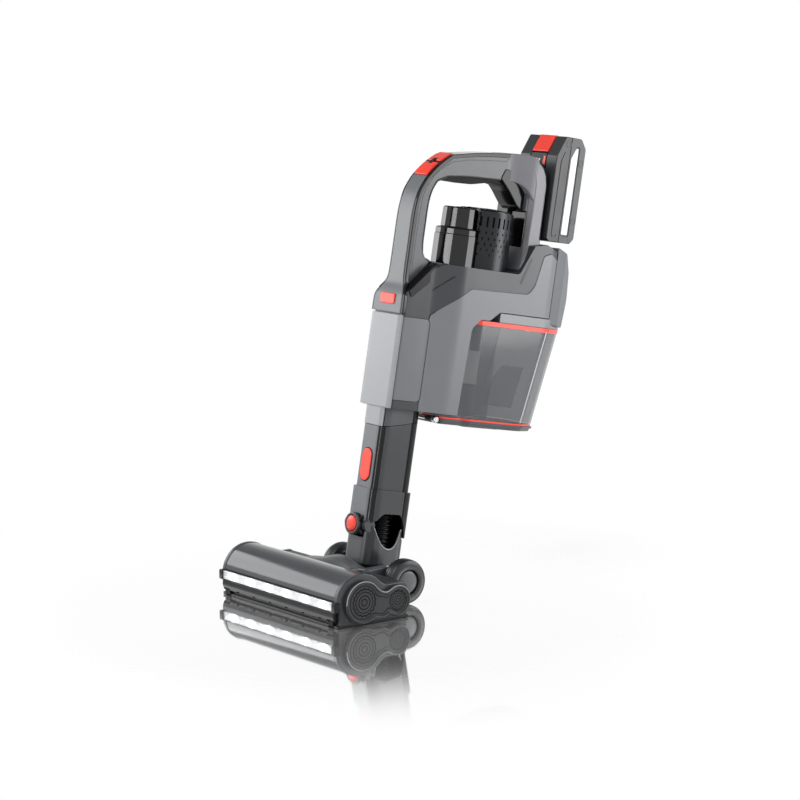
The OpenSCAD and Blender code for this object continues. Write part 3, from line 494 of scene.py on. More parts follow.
prism("cover", [(-51.4, 32.2)] + crown(0) + [(14.4, 46.4), (8, 40), (-30, 36), (-46, 32.2)], -HEAD_X, HEAD_X,
      head, COVER, "floor_head", 0.7, stands=("head_cover",))
prism("cover_under", [(-46, 32), (-30, 40), (6, 44), (8, 24), (-46, 24)], -112, 112, head, SATIN_BLACK,
    "floor_head", 0.2)
prism("rear_deck", fillet([(6, 44.5), (12.5, 47.6, 2), (19.6, 43.2, 5), (50, 43.2, 2), (53.8, 37.2, 2),
    (53.6, 24), (6, 24)], 5), -HEAD_X, HEAD_X, head, DECK, "floor_head", 0.6)
rim_back = fillet([(13.6, 49.2), (20, 44.3, 4), (50.2, 44.0, 3), (54.2, 37.4, 2), (54.0, 30)], 5)[1:-1]
rim_side = [(-52.6, 31.6)] + crown(0.7) + rim_back + [(53.6, 12), (48, 8), (-40, 8), (-46, 20)]
prism_pair("cover_rim", rim_side, 112.2, 118.9, head, RIM, "floor_head", 1.7, 4)
prism("cover_gap", [(-53.0, 31.2), (-53.0, 32.6), (-48, 32.6), (-48, 31.2)], -113, 113, head, LINE_AND_SHADE,
    "floor_head", 0.2)
lip = raw("front_lip", *prism_data(fillet([(-50, 19.6), (-54.4, 19.4, 1), (-54.8, 13, 2), (-52.6, 7.2, 2),
    (-47, 4.6, 1), (-40, 4.0), (-40, 19.6)], 4), -115, 115, head))
# notches along the lip: x, half width and height
notches = [(-108, 6.5, 9.5)] + [(x, 2.2, 8.2) for x in (-84, -50, -16, 18, 52, 86)] + [(108, 6.5, 9.5)]
carve(lip, raw("notches", *merged(
    prism_data([(-58, 2), (-58, z), (-48, 9.5), (-48, 2)], x - w, x + w, head) for x, w, z in notches)))
finish_piece(lip, "floor_head", 0.4, 2, mat=SATIN_BLACK)

# light bar: reflector with a faint painted glow, cells, lamps and clear lens
prism("lamp_reflector_painted_glow", [(-50.6, 20.4), (-52.6, 20.4), (-52.2, 25.5), (-52.6, 30.6), (-50.6, 30.6)],
      -114, 114, head, REFLECTOR_GLOW, "floor_head", 0.3, stands=("led_lens",))
lamp_x = [(i - 2.5) * 37.6 for i in range(6)]
cells = []
for xc in lamp_x:
    post = [(-54.2, 21.2), (-54.2, 29.8), (-51.6, 29.8), (-51.6, 21.2)]
    cells += [prism_data(post, xc + dx - 0.5, xc + dx + 0.5, head) for dx in (-15.2, -10.6, 10.6, 15.2)]
    cells += [prism_data([(-54.2, z - 0.4), (-54.2, z + 0.4), (-51.6, z + 0.4), (-51.6, z - 0.4)], xc - 15,
        xc + 15, head) for z in (21.6, 29.4)]
build("lamp_cells", *merged(cells), LENS, "floor_head", 0.1, 1)
domes = []
for xc in lamp_x:
    rings = [[head(xc + 1.25 * u, y, 25.5 + min(1, 4.6 / r) * v) for u, v in circle(r, 20)]
             for r, y in ((7.6, -52.5), (6.8, -53.6), (4.4, -54.3), (1.6, -54.6))]
    domes.append((sum(rings, []), skin(4, 20) + [[60 + j for j in range(20)]]))
build("lamps", *merged(domes), GLOW, "floor_head")
prism("lamp_window", fillet([(-50.8, 20.2), (-54.9, 20.2, 1), (-54.9, 30.8, 1), (-50.8, 30.8)], 3),
      -115.4, 115.4, head, LENS, "floor_head", 0.3)
prism_pair("lamp_clip", fillet([(-48, 19.4), (-56.4, 19.4, 1.5), (-56.4, 31.6, 1.5), (-48, 31.6)], 3),
           113.2, 120.4, head, SATIN_BLACK, "floor_head", 0.9)


def cap_outline(off, n=180):
    """Outline of the end cap, off mm out: circles over brush, motor and the bridge between, blended."""
    out = []
    for i in range(n):
        a = 2 * math.pi * i / n
        lo, hi = 0.0, 80.0
        for _ in range(24):
            t = (lo + hi) / 2
            y, z = 8 + t * math.cos(a), 24 + t * math.sin(a)
            d = math.hypot(y + 16, z - 28) - 26
            for cy, cz, r, k in ((10, 21.5, 16.5, 9), (35, 23.5, 19, 8)):
                e = math.hypot(y - cy, z - cz) - r
                h = max(0.0, k - abs(d - e)) / k
                d = min(d, e) - h * h * k / 4
            lo, hi = (t, hi) if d < off else (lo, t)
        out.append((8 + lo * math.cos(a), 24 + lo * math.sin(a)))
    return out


CAP_FACE = 124.02


def end_cap(side, sx):
    levels = [(0, 118.8), (0, 123.0), (-0.5, 124.2), (-1.5, 124.9), (-2.6, 125), (-3.4, 124.6), (-3.8, 123.9)]
    n = 180
    rings = {off: cap_outline(off) for off, _ in levels}
    verts = [head(sx * x, y, z) for off, x in levels for y, z in rings[off]]
    build(f"end_cap_{side}_shell", verts, skin(len(levels), n) + ends(len(levels), n), CAP, "floor_head",
          stands=(f"end_cap_{side}",), angle=40)
    # painted highlight: a bright edge line over the top of the cap
    verts = []
    for (y, z), inner in zip(cap_outline(-0.4), cap_outline(-1.1)):
        if z > 27:
            verts += [head(sx * 124.2, y, z), head(sx * 124.95, *inner)]
    faces = [[2 * i, 2 * i + 1, 2 * i + 3, 2 * i + 2] for i in range(len(verts) // 2 - 1)]
    build(f"cap_highlight_{side}", verts, faces, CAP_HIGHLIGHT, "floor_head", angle=60)

    # engraved outlines of the two pulleys with their rings, and the line that follows the cap's edge
    def ring(cy, cz, radius, width, teeth):
        verts = []
        for off, lift in ((-width / 2, 0), (-width / 2 + 0.1, 0.08), (width / 2 - 0.1, 0.08), (width / 2, 0)):
            for k in range(n):
                a = 2 * math.pi * k / n
                tooth = 0.85 * max(-0.7, min(0.7, 1.6 * math.sin(teeth * a)))
                rr = radius + off + tooth
                verts.append(head(sx * (CAP_FACE + lift), cy + rr * math.cos(a), cz + rr * math.sin(a)))
        return verts, skin(4, n)

    brush = ((16.2, 1.7, 17), (12.6, 1.1, 0), (8.2, 1.3, 0), (4.0, 1.3, 0))
    motor = ((11.2, 1.5, 14), (8.4, 0.9, 0), (5.4, 1.1, 0), (2.5, 1.0, 0))
    build(f"pulley_relief_{side}", *merged([ring(-15, 28, *r) for r in brush] + [ring(34.5, 24, *r)
        for r in motor]), CAP_LINE, "floor_head", angle=60)
    verts = [head(sx * 124.06, y, z) for off in (-5.6, -6.5) for y, z in cap_outline(off)]
    build(f"cap_line_{side}", verts, skin(2, n), CAP_LINE, "floor_head")


both_sides(end_cap)

# saddle from the cover's back over the deck to the wheels: blended from simple bodies
arm = fillet([(40, 42), (46, 45.6, 2), (60, 46.4, 8), (76, 46.2, 8), (92, 41.4, 5), (103, 34, 10),
    (103, 22, 10), (92, 14.6, 6), (55, 9), (55, 36), (48, 42)], 5)
shapes = [prism_data(arm, sx * 37, sx * 50.6, head) for sx in (-1, 1)]
shapes.append(prism_data([(54.4, 12), (60.5, 12), (60.5, 36), (56, 41), (46, 43.6), (54.4, 36.6)], -50, 50,
    head))
hump = []
for k in range(20):
    x = -47.5 + 5 * k
    c = 9.5 * math.exp(-(x / 27) ** 2)
    hump.append([head(x, y, z) for y, z in (
        (20.6, 43.7), (13.6, 48.6), (15.5, 49.8), (24, 50.2 + 0.35 * c), (34, 49.4 + 0.7 * c), (44, 47.4 + c),
        (50, 45.8 + 0.95 * c), (53.8, 43.2 + 0.5 * c), (55, 40), (54.4, 37.2), (50.4, 43.7))])
shapes.append((sum(hump, []), tube(len(hump), len(hump[0]))))
saddle = raw("saddle", *shapes[0])
for v, f in shapes[1:]:
    carve(saddle, raw("saddle_part", v, f), "UNION")
mod = saddle.modifiers.new("blend", "REMESH")
mod.mode, mod.voxel_size = "VOXEL", 1.2 * MM
mod = saddle.modifiers.new("soften", "SMOOTH")
mod.factor, mod.iterations = 0.6, 8
apply_modifiers(saddle)
finish_piece(saddle, "floor_head", stands=("rear_fork",), angle=80, mat=MID)

AXLE = (AXLE_Y, AXLE_Z)
lathe_pair("fork_boss", [(4, 34.2), (13.6, 34.2), (14.4, 35.2), (14.4, 49.6), (13.2, 51.2), (4, 51.2)], AXLE,
    DARK, "floor_head")
lathe_pair("fork_groove", [(13.8, 47.2), (14.75, 47.2), (14.75, 48.4), (13.8, 48.4)], AXLE, LINE_AND_SHADE,
    "floor_head")

# wheels
WHEEL_X = 62.5
tread = [(15.6, 8.2), (16.2, 9.4), (19, 9.9), (23.5, 9.6), (26.4, 8.2), (27.7, 5.6), (28, 2.6), (27.5, 2.2),
         (27.5, 1.4), (28, 1.0)]
tread += [(r, -h) for r, h in reversed(tread)]
disc = [(0.3, 9.75), (4, 9.7), (9, 9.5), (12.2, 8.9), (13.6, 8.0), (14.1, 6.6), (14.2, 3.6), (15.6, 3.4),
    (15.6, -3.4), (14.2, -3.6), (14.1, -7.2), (12.6, -8.6), (4.6, -8.6), (3.3, -8.4), (3.3, 8.4), (0.3, 8.4)]


def wheel(side, sx):
    for part, tail, profile, mat in (("tyre", "rubber", tread, TYRE), ("hub", "disc", disc, HUB)):
        lathe(f"{part}_{side}_{tail}", [(r, sx * (WHEEL_X + h)) for r, h in profile], AXLE, mat,
            f"wheel_{side}", "x", 96, (f"{part}_{side}",), closed=True)


both_sides(wheel)


# ================= neck and knee
def ribbed(name, path, r, ribs, at, blend_to, stands):
    """A corrugated hose along a path of (p, s) or (y, z) points at x = 0."""
    stops = smooth_path(path, 8)
    length = [0.0]
    for a, b in zip(stops, stops[1:]):
        length.append(length[-1] + math.dist(a, b))
    per, seg = 8, 40
    total = ribs * per
    verts = []
    for i in range(total + 1):
        want = length[-1] * i / total
        k = min(max(j for j in range(len(length)) if length[j] <= want + 1e-9), len(stops) - 2)
        t = (want - length[k]) / ((length[k + 1] - length[k]) or 1)
        a, b = stops[k], stops[k + 1]
        c = (a[0] + (b[0] - a[0]) * t, a[1] + (b[1] - a[1]) * t)
        ln = math.dist(a, b)
        d = ((b[0] - a[0]) / ln, (b[1] - a[1]) / ln)
        wave = math.cos(2 * math.pi * i / per)
        rr = r - 0.075 * r * (1 + math.copysign(abs(wave) ** 0.6, wave))
        verts += [at(u, c[0] - v * d[1], c[1] + v * d[0]) for u, v in circle(rr, seg)]
    o = build(name, verts, skin(total + 1, seg), SATIN_BLACK, None, angle=80)
    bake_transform(o)
    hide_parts(*stands)


ribbed("knee_bellows", [(4, 27.2), (4, 60), (4, 96)], 15, 13, wand,
       ("cup", "wand", wand(0, 4, 34), wand(0, 4, 88)), ("knee_hose",))
prism("knee_backing", [(-17, 26.4), (25, 26.4), (25, 60), (20, 74), (-14, 74), (-17, 62)], -17.4, -16.4, wand,
    BLACK, "cup", 0.3)
prism("knee_backing_rear", [(24, 26.4), (25.2, 26.4), (25.2, 58), (24, 58)], -16.4, 16.4, wand, BLACK, "cup",
    0.3)
ribbed("neck_bellows", [(60.4, 30), (66, 30.6), (70.6, 30)], 10, 5, head,
       ("floor_head", "neck", head(0, 60, 30), head(0, 70, 30)), ("neck_hose",))

KNEE_P, KNEE_S = -27, 60
wand_line = rrect(46, 59, 12, 12, 1.0)
cup_line = rrect(46, 61, 12, 12, 1.0)


def cup_rim(x, p):
    """The cup's upper edge: low at the front under the button, and a U-shaped opening in each side."""
    if p < -24 and abs(x) < 14.3:
        return 45.0
    return between([(-31, 60.2), (-23, 60.4), (-20, 56.5), (-17, 51.5), (-13, 45.4), (-8, 39.2), (-3, 35.2),
        (2, 33.3), (6, 33), (10, 34), (13, 36.4), (16, 41), (18, 47), (19.6, 54), (20.6, 57.6), (22, 58.2),
        (23.2, 57), (24.2, 45.4), (31, 44.6)], p)


def cup_foot(x, p):
    return 12.2 + (3.0 if p > 26 else 0)


# mid-grey front, a painted dark reflection on the front corners and the front of the sides (second material),
# dark sides behind
wall("cup_shell", cup_line, 3.2, cup_foot, cup_rim, DARK, "cup", True, 0.6, ("swivel_cup",), 2,
    [MID, CUP_DARK_REFLECTION, DARK], lambda x, p: 0 if abs(x) < 15.6 and p < 0 else 1 if p < -10 else 2)
# painted highlight: a pale strip along the cup's upper edge, round each U-shaped opening
cup_highlight_outline = [(x * 1.006, p * 1.006) for x, p in cup_line]
both_sides(lambda side, sx: wall(
    f"cup_rim_highlight_{side}", part_of(cup_highlight_outline, lambda x, p: sx * x > 0 and -22.5 < p < 23), 1.3,
    lambda x, p: cup_rim(x, p) - 1.0, lambda x, p: cup_rim(x, p) + 0.25, RIM_HIGHLIGHT, "cup", False, 0.2))
cup_floor = rrect(41, 56, 10, 8)
loft("cup_floor", [(12.6, cup_floor), (26.5, cup_floor)], wand, SATIN_BLACK, "cup", 0.5)
lathe_pair("knee_ear", [(0.5, 13.9), (7.8, 13.9), (7.8, 20.8), (0.5, 20.8)], wand_yz(KNEE_P, KNEE_S), DARK,
    "cup", 40)

# collar: light front, dark sides and black back round a black core, with the knee's drum and button
collar_line = rrect(52, 65, 14, 14, 1.0)


def collar_low(x, p):
    if p < -22:
        return 62.5 if abs(x) < 13.5 else 61.2 + 5.6 * (abs(x) - 13.5) / 12.5
    if p < -8:
        return 66.8 + (76.5 - 66.8) * math.sin((p + 22) / 14 * math.pi / 2)
    if p < 12:
        return 76.5
    if p < 26:
        return 76.5 - 29 * (1 - math.cos((p - 12) / 14 * math.pi / 2))
    return 47.5


def collar_top(x, p):
    return 105.6 - (p + 30) * 0.02


def banded(prefix, outline, t, low, high, front_x, side_p, rear_p, side_mat, stands):
    """Front, sides and back of a wand-like tube, round a core that shows at the corners."""
    gap = 0.35
    for tail, test, mat, replaced in (
            ("front", lambda x, p: abs(x) < front_x - gap and p < 0, FRONT, stands),
            ("side_left", lambda x, p: x > 0 and side_p + gap < p < rear_p - gap, side_mat, ()),
            ("side_right", lambda x, p: x < 0 and side_p + gap < p < rear_p - gap, side_mat, ()),
            ("back", lambda x, p: p > rear_p, SATIN_BLACK, ())):
        wall(f"{prefix}_{tail}", part_of(outline, test), t, low, high, mat, "wand", False, 0.5, replaced)
    inner = [(x * 0.975, p * 0.975) for x, p in outline]
    wall(f"{prefix}_core", inner, t - 0.4, low, high, BLACK, "wand", True, 0.2)


banded("collar", collar_line, 3.4, collar_low, collar_top, 17.5, -27.0, 17, DARK, ("knee_collar",))
lathe("knee_drum", [(2.6, -13.2), (12.4, -13.2), (13, -12.6), (13, 12.6), (12.4, 13.2), (2.6, 13.2)],
      wand_yz(KNEE_P, KNEE_S), SATIN_BLACK, "wand", "x", 64)
lathe("knee_boss", [(10.2, -28), (13.4, -28), (13.6, -30), (13.6, -37.6), (13.2, -38.4), (10.2, -38.4)],
      (0, KNEE_S), BLACK, "wand", "p", 64, closed=True)
lathe("knee_bezel", [(10.1, -36), (13.2, -36.6), (13.8, -37.6), (13.8, -39.2), (13.2, -40.2), (12.2, -40.6),
    (11.0, -40.4), (10.2, -39.4)], (0, KNEE_S), CUP_GREY, "wand", "p", 64, closed=True)
lathe("knee_button_cap", [(0.3, -32), (9.7, -32), (9.7, -39.6), (9.2, -40.7), (7.6, -41.5), (4, -41.9),
    (0.3, -42.0)], (0, KNEE_S), RED, "knee_release", "p", 64, ("knee_button",))


# ================= wand
def wand_high(x, p):
    return 183.0 + 10.0 * max(0.0, min(1.0, (p + 29.5) / 59)) ** 1.2


banded("wand_tube", wand_line, 2.0, lambda x, p: 103.0, wand_high, 15.6, -25.0, 15.5, SIDE_DARK,
       ("wand_front_shell", "wand_rear_shell", "wand_liner"))


def stadium(w, ln, n=14):
    r = w / 2
    top = [(r * math.cos(math.pi * k / n), ln / 2 - r + r * math.sin(math.pi * k / n)) for k in range(n + 1)]
    return top + [(-x, -y) for x, y in top]


def on_front(name, shape, p0, p1, s0, mat, body, bevel, stands=()):
    return prism(name, shape, p0, p1, lambda p, x, y: wand(x, p, s0 + y), mat, body, bevel, stands=stands)


on_front("oval_frame", stadium(20.6, 42.6), -29.9, -27, 134, BLACK, "wand", 0.15)
on_front("oval_button", stadium(18.2, 40), -31.2, -27, 134, RED, "wand_release", 1.1, ("wand_button",))

# ================= body
TRUNK_FOOT = 207


def nozzle(tail, outline, mat, closed=False, lift=0.5, bevel=0.4, stands=()):
    wall(f"nozzle_{tail}", outline, 3, lambda x, p: wand_high(x, p) + lift, lambda x, p: TRUNK_FOOT, mat,
        "body", closed, bevel, stands)


nozzle("front", part_of(wand_line, lambda x, p: abs(x) < 18.5 and p < 0), LIGHT, stands=("body_nozzle",))
both_sides(lambda side, sx: nozzle(f"side_{side}", part_of(wand_line,
    lambda x, p: sx * x > 0 and -26.2 < p < 16), MID))
nozzle("back", part_of(wand_line, lambda x, p: p > 16.2), SATIN_BLACK)
nozzle("core", [(x * 0.96, p * 0.96) for x, p in wand_line], BLACK, True, 0.2, 0.2)
spigot = rrect(37, 50, 8, 8)
loft("nozzle_spigot", [(160, spigot), (184, spigot)], wand, SATIN_BLACK, "body", 1.0)


def plan(g):
    h, t = 45 - g, 30 - g
    half = [(t, -27 + g / 4, 3), (t + 2, 14, 26), (h, 46, 34), (h, 186, 20), (h - 6, 214, 14),
        (h - 22, 240 - g, 6)]
    return fillet(half + [(-x, p, q) for x, p, q in reversed(half)], 7)


def plan_x(p):
    """Half width of the body at p behind the wand's axis."""
    return between([(-27, 30), (10, 31.8), (18, 33.5), (30, 38.6), (42, 43.6), (52, 44.9), (186, 45),
        (205, 41.6), (214, 38.6), (240, 23)], p)


def on_plan(name, side, g, low, high, mat, body, bevel, stands=(), hollow=None, x0=-60, x1=60, seg=3):
    """The side outline cut through the body's plan: a block, or a shell when hollow."""
    o = raw(name, *prism_data(side, x0, x1, wand))
    carve(o, raw("plan_block", *prism_data(plan(g), low, high, wand_up)), "INTERSECT")
    if hollow is not None:
        carve(o, raw("plan_hollow", *prism_data(plan(hollow), low - 5, high + 5, wand_up)))
    finish_piece(o, body, bevel, seg, 28, stands, mat)


arch = fillet([(66, 206), (70.5, 316, 14), (84, 328.5, 9), (98, 328.5, 7), (113, 340.4, 8), (150, 340.4)],
    8)[1:-1]
upper_side = ([(-27, 206.5), (43.4, 206.5), (43.4, 329)] + [(84, 329), (98, 329), (112, 341)]
              + [(195.8, 341), (195.8, 424), (176, 432), (156, 428)]
              + fillet([(156, 428), (136.5, 390.3, 7), (24, 390.3, 4), (10, 382.5, 2), (-10, 363)], 5)[1:-1]
              + [(-12, 361), (-27, 349)])
on_plan("upper_housing", upper_side, 0.6, 200, 440, DARK, "body", 2.2,
        ("housing_left", "housing_right"), seg=4)
panel_side = ([(13.6, 207), (66, 207)] + arch + [(195.8, 340.4), (195.8, 414.5)]
    + fillet([(195.8, 414.5), (184, 421, 3), (172.5, 417, 4), (164, 378, 20), (154, 366.6, 10), (62, 364, 8),
    (11, 325, 5), (13.6, 318)], 7)[1:-1])
both_sides(lambda side, sx: on_plan(
    f"side_skin_{side}", panel_side, 0.0, 200, 440, PANEL, "body", 1.3, (f"side_panel_{side}",), 2.6,
    *sorted((sx * 1, sx * 60))))
logo_side = fillet([(-26.6, 218), (13.2, 218, 6), (13.2, 320, 6), (-26.6, 320)], 6)
both_sides(lambda side, sx: on_plan(f"side_inset_{side}", logo_side, -0.35, 200, 340, LOGO, "body", 0.5, (),
    4, *sorted((sx * 20, sx * 60)), 2))
low_side = [(-26.6, 207), (13.2, 207), (13.2, 217.3), (-26.6, 217.3)]
both_sides(lambda side, sx: on_plan(f"lower_edge_{side}", low_side, -0.1, 200, 340, DARK, "body", 0.4, (), 4,
                                    *sorted((sx * 20, sx * 60)), 2))
on_plan("rear_band", fillet([(196.4, 334, 2), (230, 330, 4), (237, 366, 40), (231.5, 401, 14), (217, 424, 8),
    (196.4, 431, 2)], 8), -0.1, 320, 440, REAR, "body", 2.6, ("rear_cover",), seg=4)

# trunk's front
trunk = fillet([(-30, -27, 1), (30, -27, 1), (30, -29.5, 3), (24, -31, 6), (-24, -31, 6), (-30, -29.5, 3)], 5)
loft("trunk_front", [(TRUNK_FOOT, trunk), (321.6, trunk)], wand, LIGHT, "body", 0.8, stands=("trunk_cover",))
waist = smooth_path([(-31, 323.4, 27), (-31, 334, 27), (-30.6, 344, 26), (-28.4, 351, 23), (-25, 359, 18.4),
    (-23.6, 367, 14.6), (-23.2, 380, 13.6), (-23.1, 410, 13.4), (-23, 440, 13.3), (-22, 456, 13.2),
    (-18.6, 474, 13.2), (-11.5, 489, 13.2), (-7.5, 495, 13.2)], 5)
band("front_strip", [(po, so, pi, si, w) for (po, so, pi, si, _), (_, _, w) in
                     zip(along([(p, s) for p, s, _ in waist], 5, 1, 0.5), waist)], FRONT, "body", 2.2, 4,
     ("handle_front_strip",))
seam_path = [(p, s) for p, s, _ in waist] + bezier((-6, 497), (6, 512), (16, 519), (26, 525.6), 8)[1:] + \
    bezier((26, 525.6), (60, 532.6), (80, 535.6), (110, 538.2), 8)[1:] + [(128, 539.4), (140, 540.2)]
seam_w = [w + 3.9 for _, _, w in waist] + [17.2] * (len(seam_path) - len(waist))
band("handle_seam", along(seam_path, 6, seam_w, -0.4), BLACK, "body", 1.1, 3)

handle_out = ([(-19.8, 354), (-19.4, 368), (-19.4, 446)] + bezier((-18.6, 462), (-14.6, 490), (3, 510.4),
    (27, 522.3), 12) + bezier((50, 527.6), (80, 531.4), (110, 534.4), (146, 536.6), 8))
handle_in = (bezier((146, 494), (138, 503), (128, 505), (108, 503.4), 6) + bezier((90, 502.6), (60, 501.6),
    (40, 499.8), (22, 497), 6) + bezier((8, 491), (0, 481), (-2.6, 470), (-2.8, 452), 8) + [(-2.8, 416)]
    + bezier((-2.4, 410), (-1, 400), (3, 394), (12, 391.4), 6) + [(10, 384), (-13, 361.5)])
prism("handle_core", handle_out + handle_in, -17, 17, wand, MID, "body", 3.6, 4,
    ("handle_left", "handle_right"), 28)
gusset = fillet([(-14, 362.6), (-9, 352), (26, 381, 3), (33, 391.4, 2), (13, 391.6, 2)], 4)
prism("gusset", gusset, -20, 20, wand, BLACK, "body", 1.2)
prism("gusset_plate", fillet([(-24, 352.5), (-20, 344, 2), (14, 372, 2), (24, 384, 3), (30, 390.9, 1),
    (8, 384.5)], 3), -31, 31, wand, SATIN_BLACK, "body", 1.6)

# loop liner along the inner edge, and the waved grip insert
liner_path = ([(12, 391.2), (3, 394), (-1, 400), (-2.4, 410), (-2.8, 416), (-2.8, 452)]
              + [tuple(q) for q in reversed(bezier((8, 491), (0, 481), (-2.6, 470), (-2.8, 452), 8))][1:]
              + [(22, 497)])
band("loop_liner", along(liner_path, 1.4, 16.6, 0.9), SATIN_BLACK, "body", 0.5, 2)
grip_keys = [(4, 489.5, 2), (16, 495, 3.2), (30, 498, 5.6), (46, 500.5, 8), (62, 502, 9.2), (78, 503, 7.4),
    (94, 503.4, 4.8), (110, 503.4, 5.6), (124, 503, 8.4), (134, 500, 10)]
grip = [(p, s + 1, p + (0.8 if p < 20 else 0), s - d, 13.6 + (0 if p < 110 else (p - 110) * 0.1)) for p, s,
    d in smooth_path(grip_keys, 6)]
band("grip_rubber", grip, RUBBER, "body", 2.2, 4, ("grip_insert",))
lump = [(106, 506, 3), (112, 519, 4), (124, 519, 2), (156, 500), (156, 470), (150, 468, 2), (138, 475, 8),
    (122, 492, 8)]
prism("corner_lump", fillet(lump, 6), -17.8, 17.8, wand, BLACK, "body", 2.6, 4)


# rear strut: flares from the grip, and widens again into the shoulders
def box_ring(hw, p0, p1, c=4.0):
    return [(hw, p0 + c), (hw, p1 - c), (hw - c, p1), (-hw + c, p1), (-hw, p1 - c), (-hw, p0 + c),
        (-hw + c * 1.6, p0), (hw - c * 1.6, p0)]


loft("rear_strut_column", [(s, box_ring(hw, p0, p1)) for s, hw, p0, p1 in ((386, 44.4, 137, 195.5),
    (398, 43.8, 140, 195), (408, 41, 143.4, 192), (418, 36, 147, 186), (428, 31.4, 150, 179),
    (438, 30, 151, 176.4), (470, 30, 151.6, 176.2), (505, 30, 151, 175.8), (518, 29.6, 148, 173),
    (527, 28.6, 145, 168), (534, 26.6, 143, 161), (539.4, 23, 141, 152))], wand, STRUT, "body", 1.4, 3,
    ("battery_dock",), 24)
flare = [(112, 503.6, 538.2, 16.8), (120, 504, 539, 17.4), (128, 504, 539.8, 19.6), (136, 502, 540.2, 23),
    (144, 497, 540, 26.6), (150, 490, 538.6, 28.8), (156, 482, 535.5, 29.6)]
band("grip_flare", [(p, hi, p, lo, w) for p, lo, hi, w in smooth_path(flare, 3)], STRUT, "body", 3.0, 4)
prism("strut_channel", fillet([(144.5, 436, 2), (144.5, 492, 3), (152, 498), (152, 430)], 3), -27, -6, wand,
    CASE, "body", 0.8)
prism("strut_face", fillet([(148.4, 470, 2), (148.4, 496, 2), (153, 496), (153, 470)], 3), -6, 23.5, wand,
    MID, "body", 0.8)
prism("strut_well", fillet([(149, 400, 2), (149, 470.4, 2), (153, 470.4), (153, 400)], 3), -25.6, 24, wand,
    BLACK, "body", 0.5)


# engraved lines on the body's sides
def side_line(name, pts, x, w=0.45):
    for side, sx in SIDES:
        verts = []
        for i, (p, s) in enumerate(pts):
            a, b = pts[max(i - 1, 0)], pts[min(i + 1, len(pts) - 1)]
            dp, ds = b[0] - a[0], b[1] - a[1]
            ln = math.hypot(dp, ds) or 1
            for e, d in ((-1, -0.5), (-1, 0.06), (1, 0.06), (1, -0.5)):
                verts.append(wand(sx * (x(p) + d), p - ds / ln * w / 2 * e, s + dp / ln * w / 2 * e))
        build(f"{name}_{side}", verts, skin(len(pts), 4) + ends(len(pts), 4), LINE_AND_SHADE, "body")


side_line("handle_line", [(-14.6, 380), (-14.4, 446)] + bezier((-14, 462), (-10, 486), (4, 505), (28, 516.6),
    10)[1:] + bezier((50, 521.6), (80, 525.4), (96, 526.6), (112, 528), 6) + [(117, 532.6)], lambda p: 17.0)
side_line("inset_edge", fillet([(-24.6, 218, 0), (13.6, 218, 6.2), (13.6, 320.2, 6.2), (-24.6, 320.2, 0)], 6),
          lambda p: plan_x(p) + 0.05, 0.6)
side_line("housing_line", fillet([(13.2, 317), (11.4, 325, 5), (62, 364, 8), (154, 366.9, 10),
    (164.3, 378, 20), (172.8, 417.4, 4), (184, 421.4, 3), (195.8, 415)], 7)[1:-1],
    lambda p: plan_x(p) - 0.05, 0.5)
side_line("rear_line", [(196.1, 341), (196.1, 424)], lambda p: plan_x(p) - 0.1, 0.5)


def slits(name, rows):
    """Rows are (middle p, middle s, run in p, run in s); each slit is a thin dark box in the side."""
    width = 0.9
    for side, sx in SIDES:
        boxes = []
        for p, s, dp, ds in rows:
            ln = math.hypot(dp, ds)
            nx, ny = -ds / ln * width / 2, dp / ln * width / 2
            pts = [(p + e * dp / 2 + f * nx, s + e * ds / 2 + f * ny) for e, f in ((-1, 1), (1, 1), (1, -1),
                (-1, -1))]
            boxes.append(([wand(sx * (plan_x(a) - 0.6 + d), a, b) for d in (-1.2, 0.16) for a, b in pts],
                tube(2, 4)))
        build(f"{name}_{side}", *merged(boxes), LINE_AND_SHADE, "body")


slits("front_slits", [(12 + 2.1 * i, 357 + 1.75 * i, 3.4, 0.6) for i in range(12)])
slits("rear_slits", [(139.6 + 1.02 * i, 380 + 2.6 * i, 3.4, -1.4) for i in range(13)])

# buttons
on_front("bin_button_cap", fillet([(-14, -6.5, 2.5), (14, -6.5, 2.5), (14, 6.5, 2.5), (-14, 6.5, 2.5)], 5),
    -33, -26.5, 340, RED, "bin_release", 1.1, ("bin_button",))
switch_path = bezier((-7.2, 495.4), (2, 508.6), (12, 517.4), (28.6, 526.6), 12)
band("switch_back", along(switch_path, 7, 11, -0.2), BLACK, "body", 0.6)
band("switch_low", along(switch_path[:7], 5, 12.6, 1.5), RED, "switch", 1.3, 3, ("power_switch",))
band("switch_high", along(switch_path[7:], 5, 12.6, 1.3), RED, "switch", 1.3, 3)
band("switch_mark", along(switch_path[5:9], 1, 3.2, 1.9), SATIN_BLACK, "switch", 0.3)

# ================= filter cap and vented housing
CAP_P, VENT_P = 64, 101
tiers = [(29, 368.4), (29, 428.4), (28.3, 429), (28.3, 435.4), (27.2, 437), (23.2, 437.4), (22.8, 438),
    (22.4, 461.6), (21, 463)]
facets = 18
build("filter_cap_tiers", [wand(x, p, s) for r, s in tiers for x, p in circle(r, facets, 0, CAP_P, 0.5)],
    skin(len(tiers), facets) + ends(len(tiers), facets), CAP_GLOSS, "filter_cup", 0.45, 2, 12,
    ("filter_cap",))


def spoke_box(a, corners):
    """A box beside the vent's axis at angle a, from its eight (radius, sideways, s) corners."""
    ca, sa = math.cos(a), math.sin(a)
    return [wand(r * ca - w * sa, VENT_P + r * sa + w * ca, s) for r, w, s in corners], tube(2, 4)


def hole(a, s, w, h):
    return spoke_box(a, [(r, dw, s + dh) for r in (34, 41) for dw, dh in ((-w, -h), (w, -h), (w, h),
        (-w, h))])


def cap_room():
    """The round room that the filter cap lifts out of."""
    return raw("cap_room", *prism_data(circle(29.6, 72, 0, CAP_P), 350, 480, wand_up))


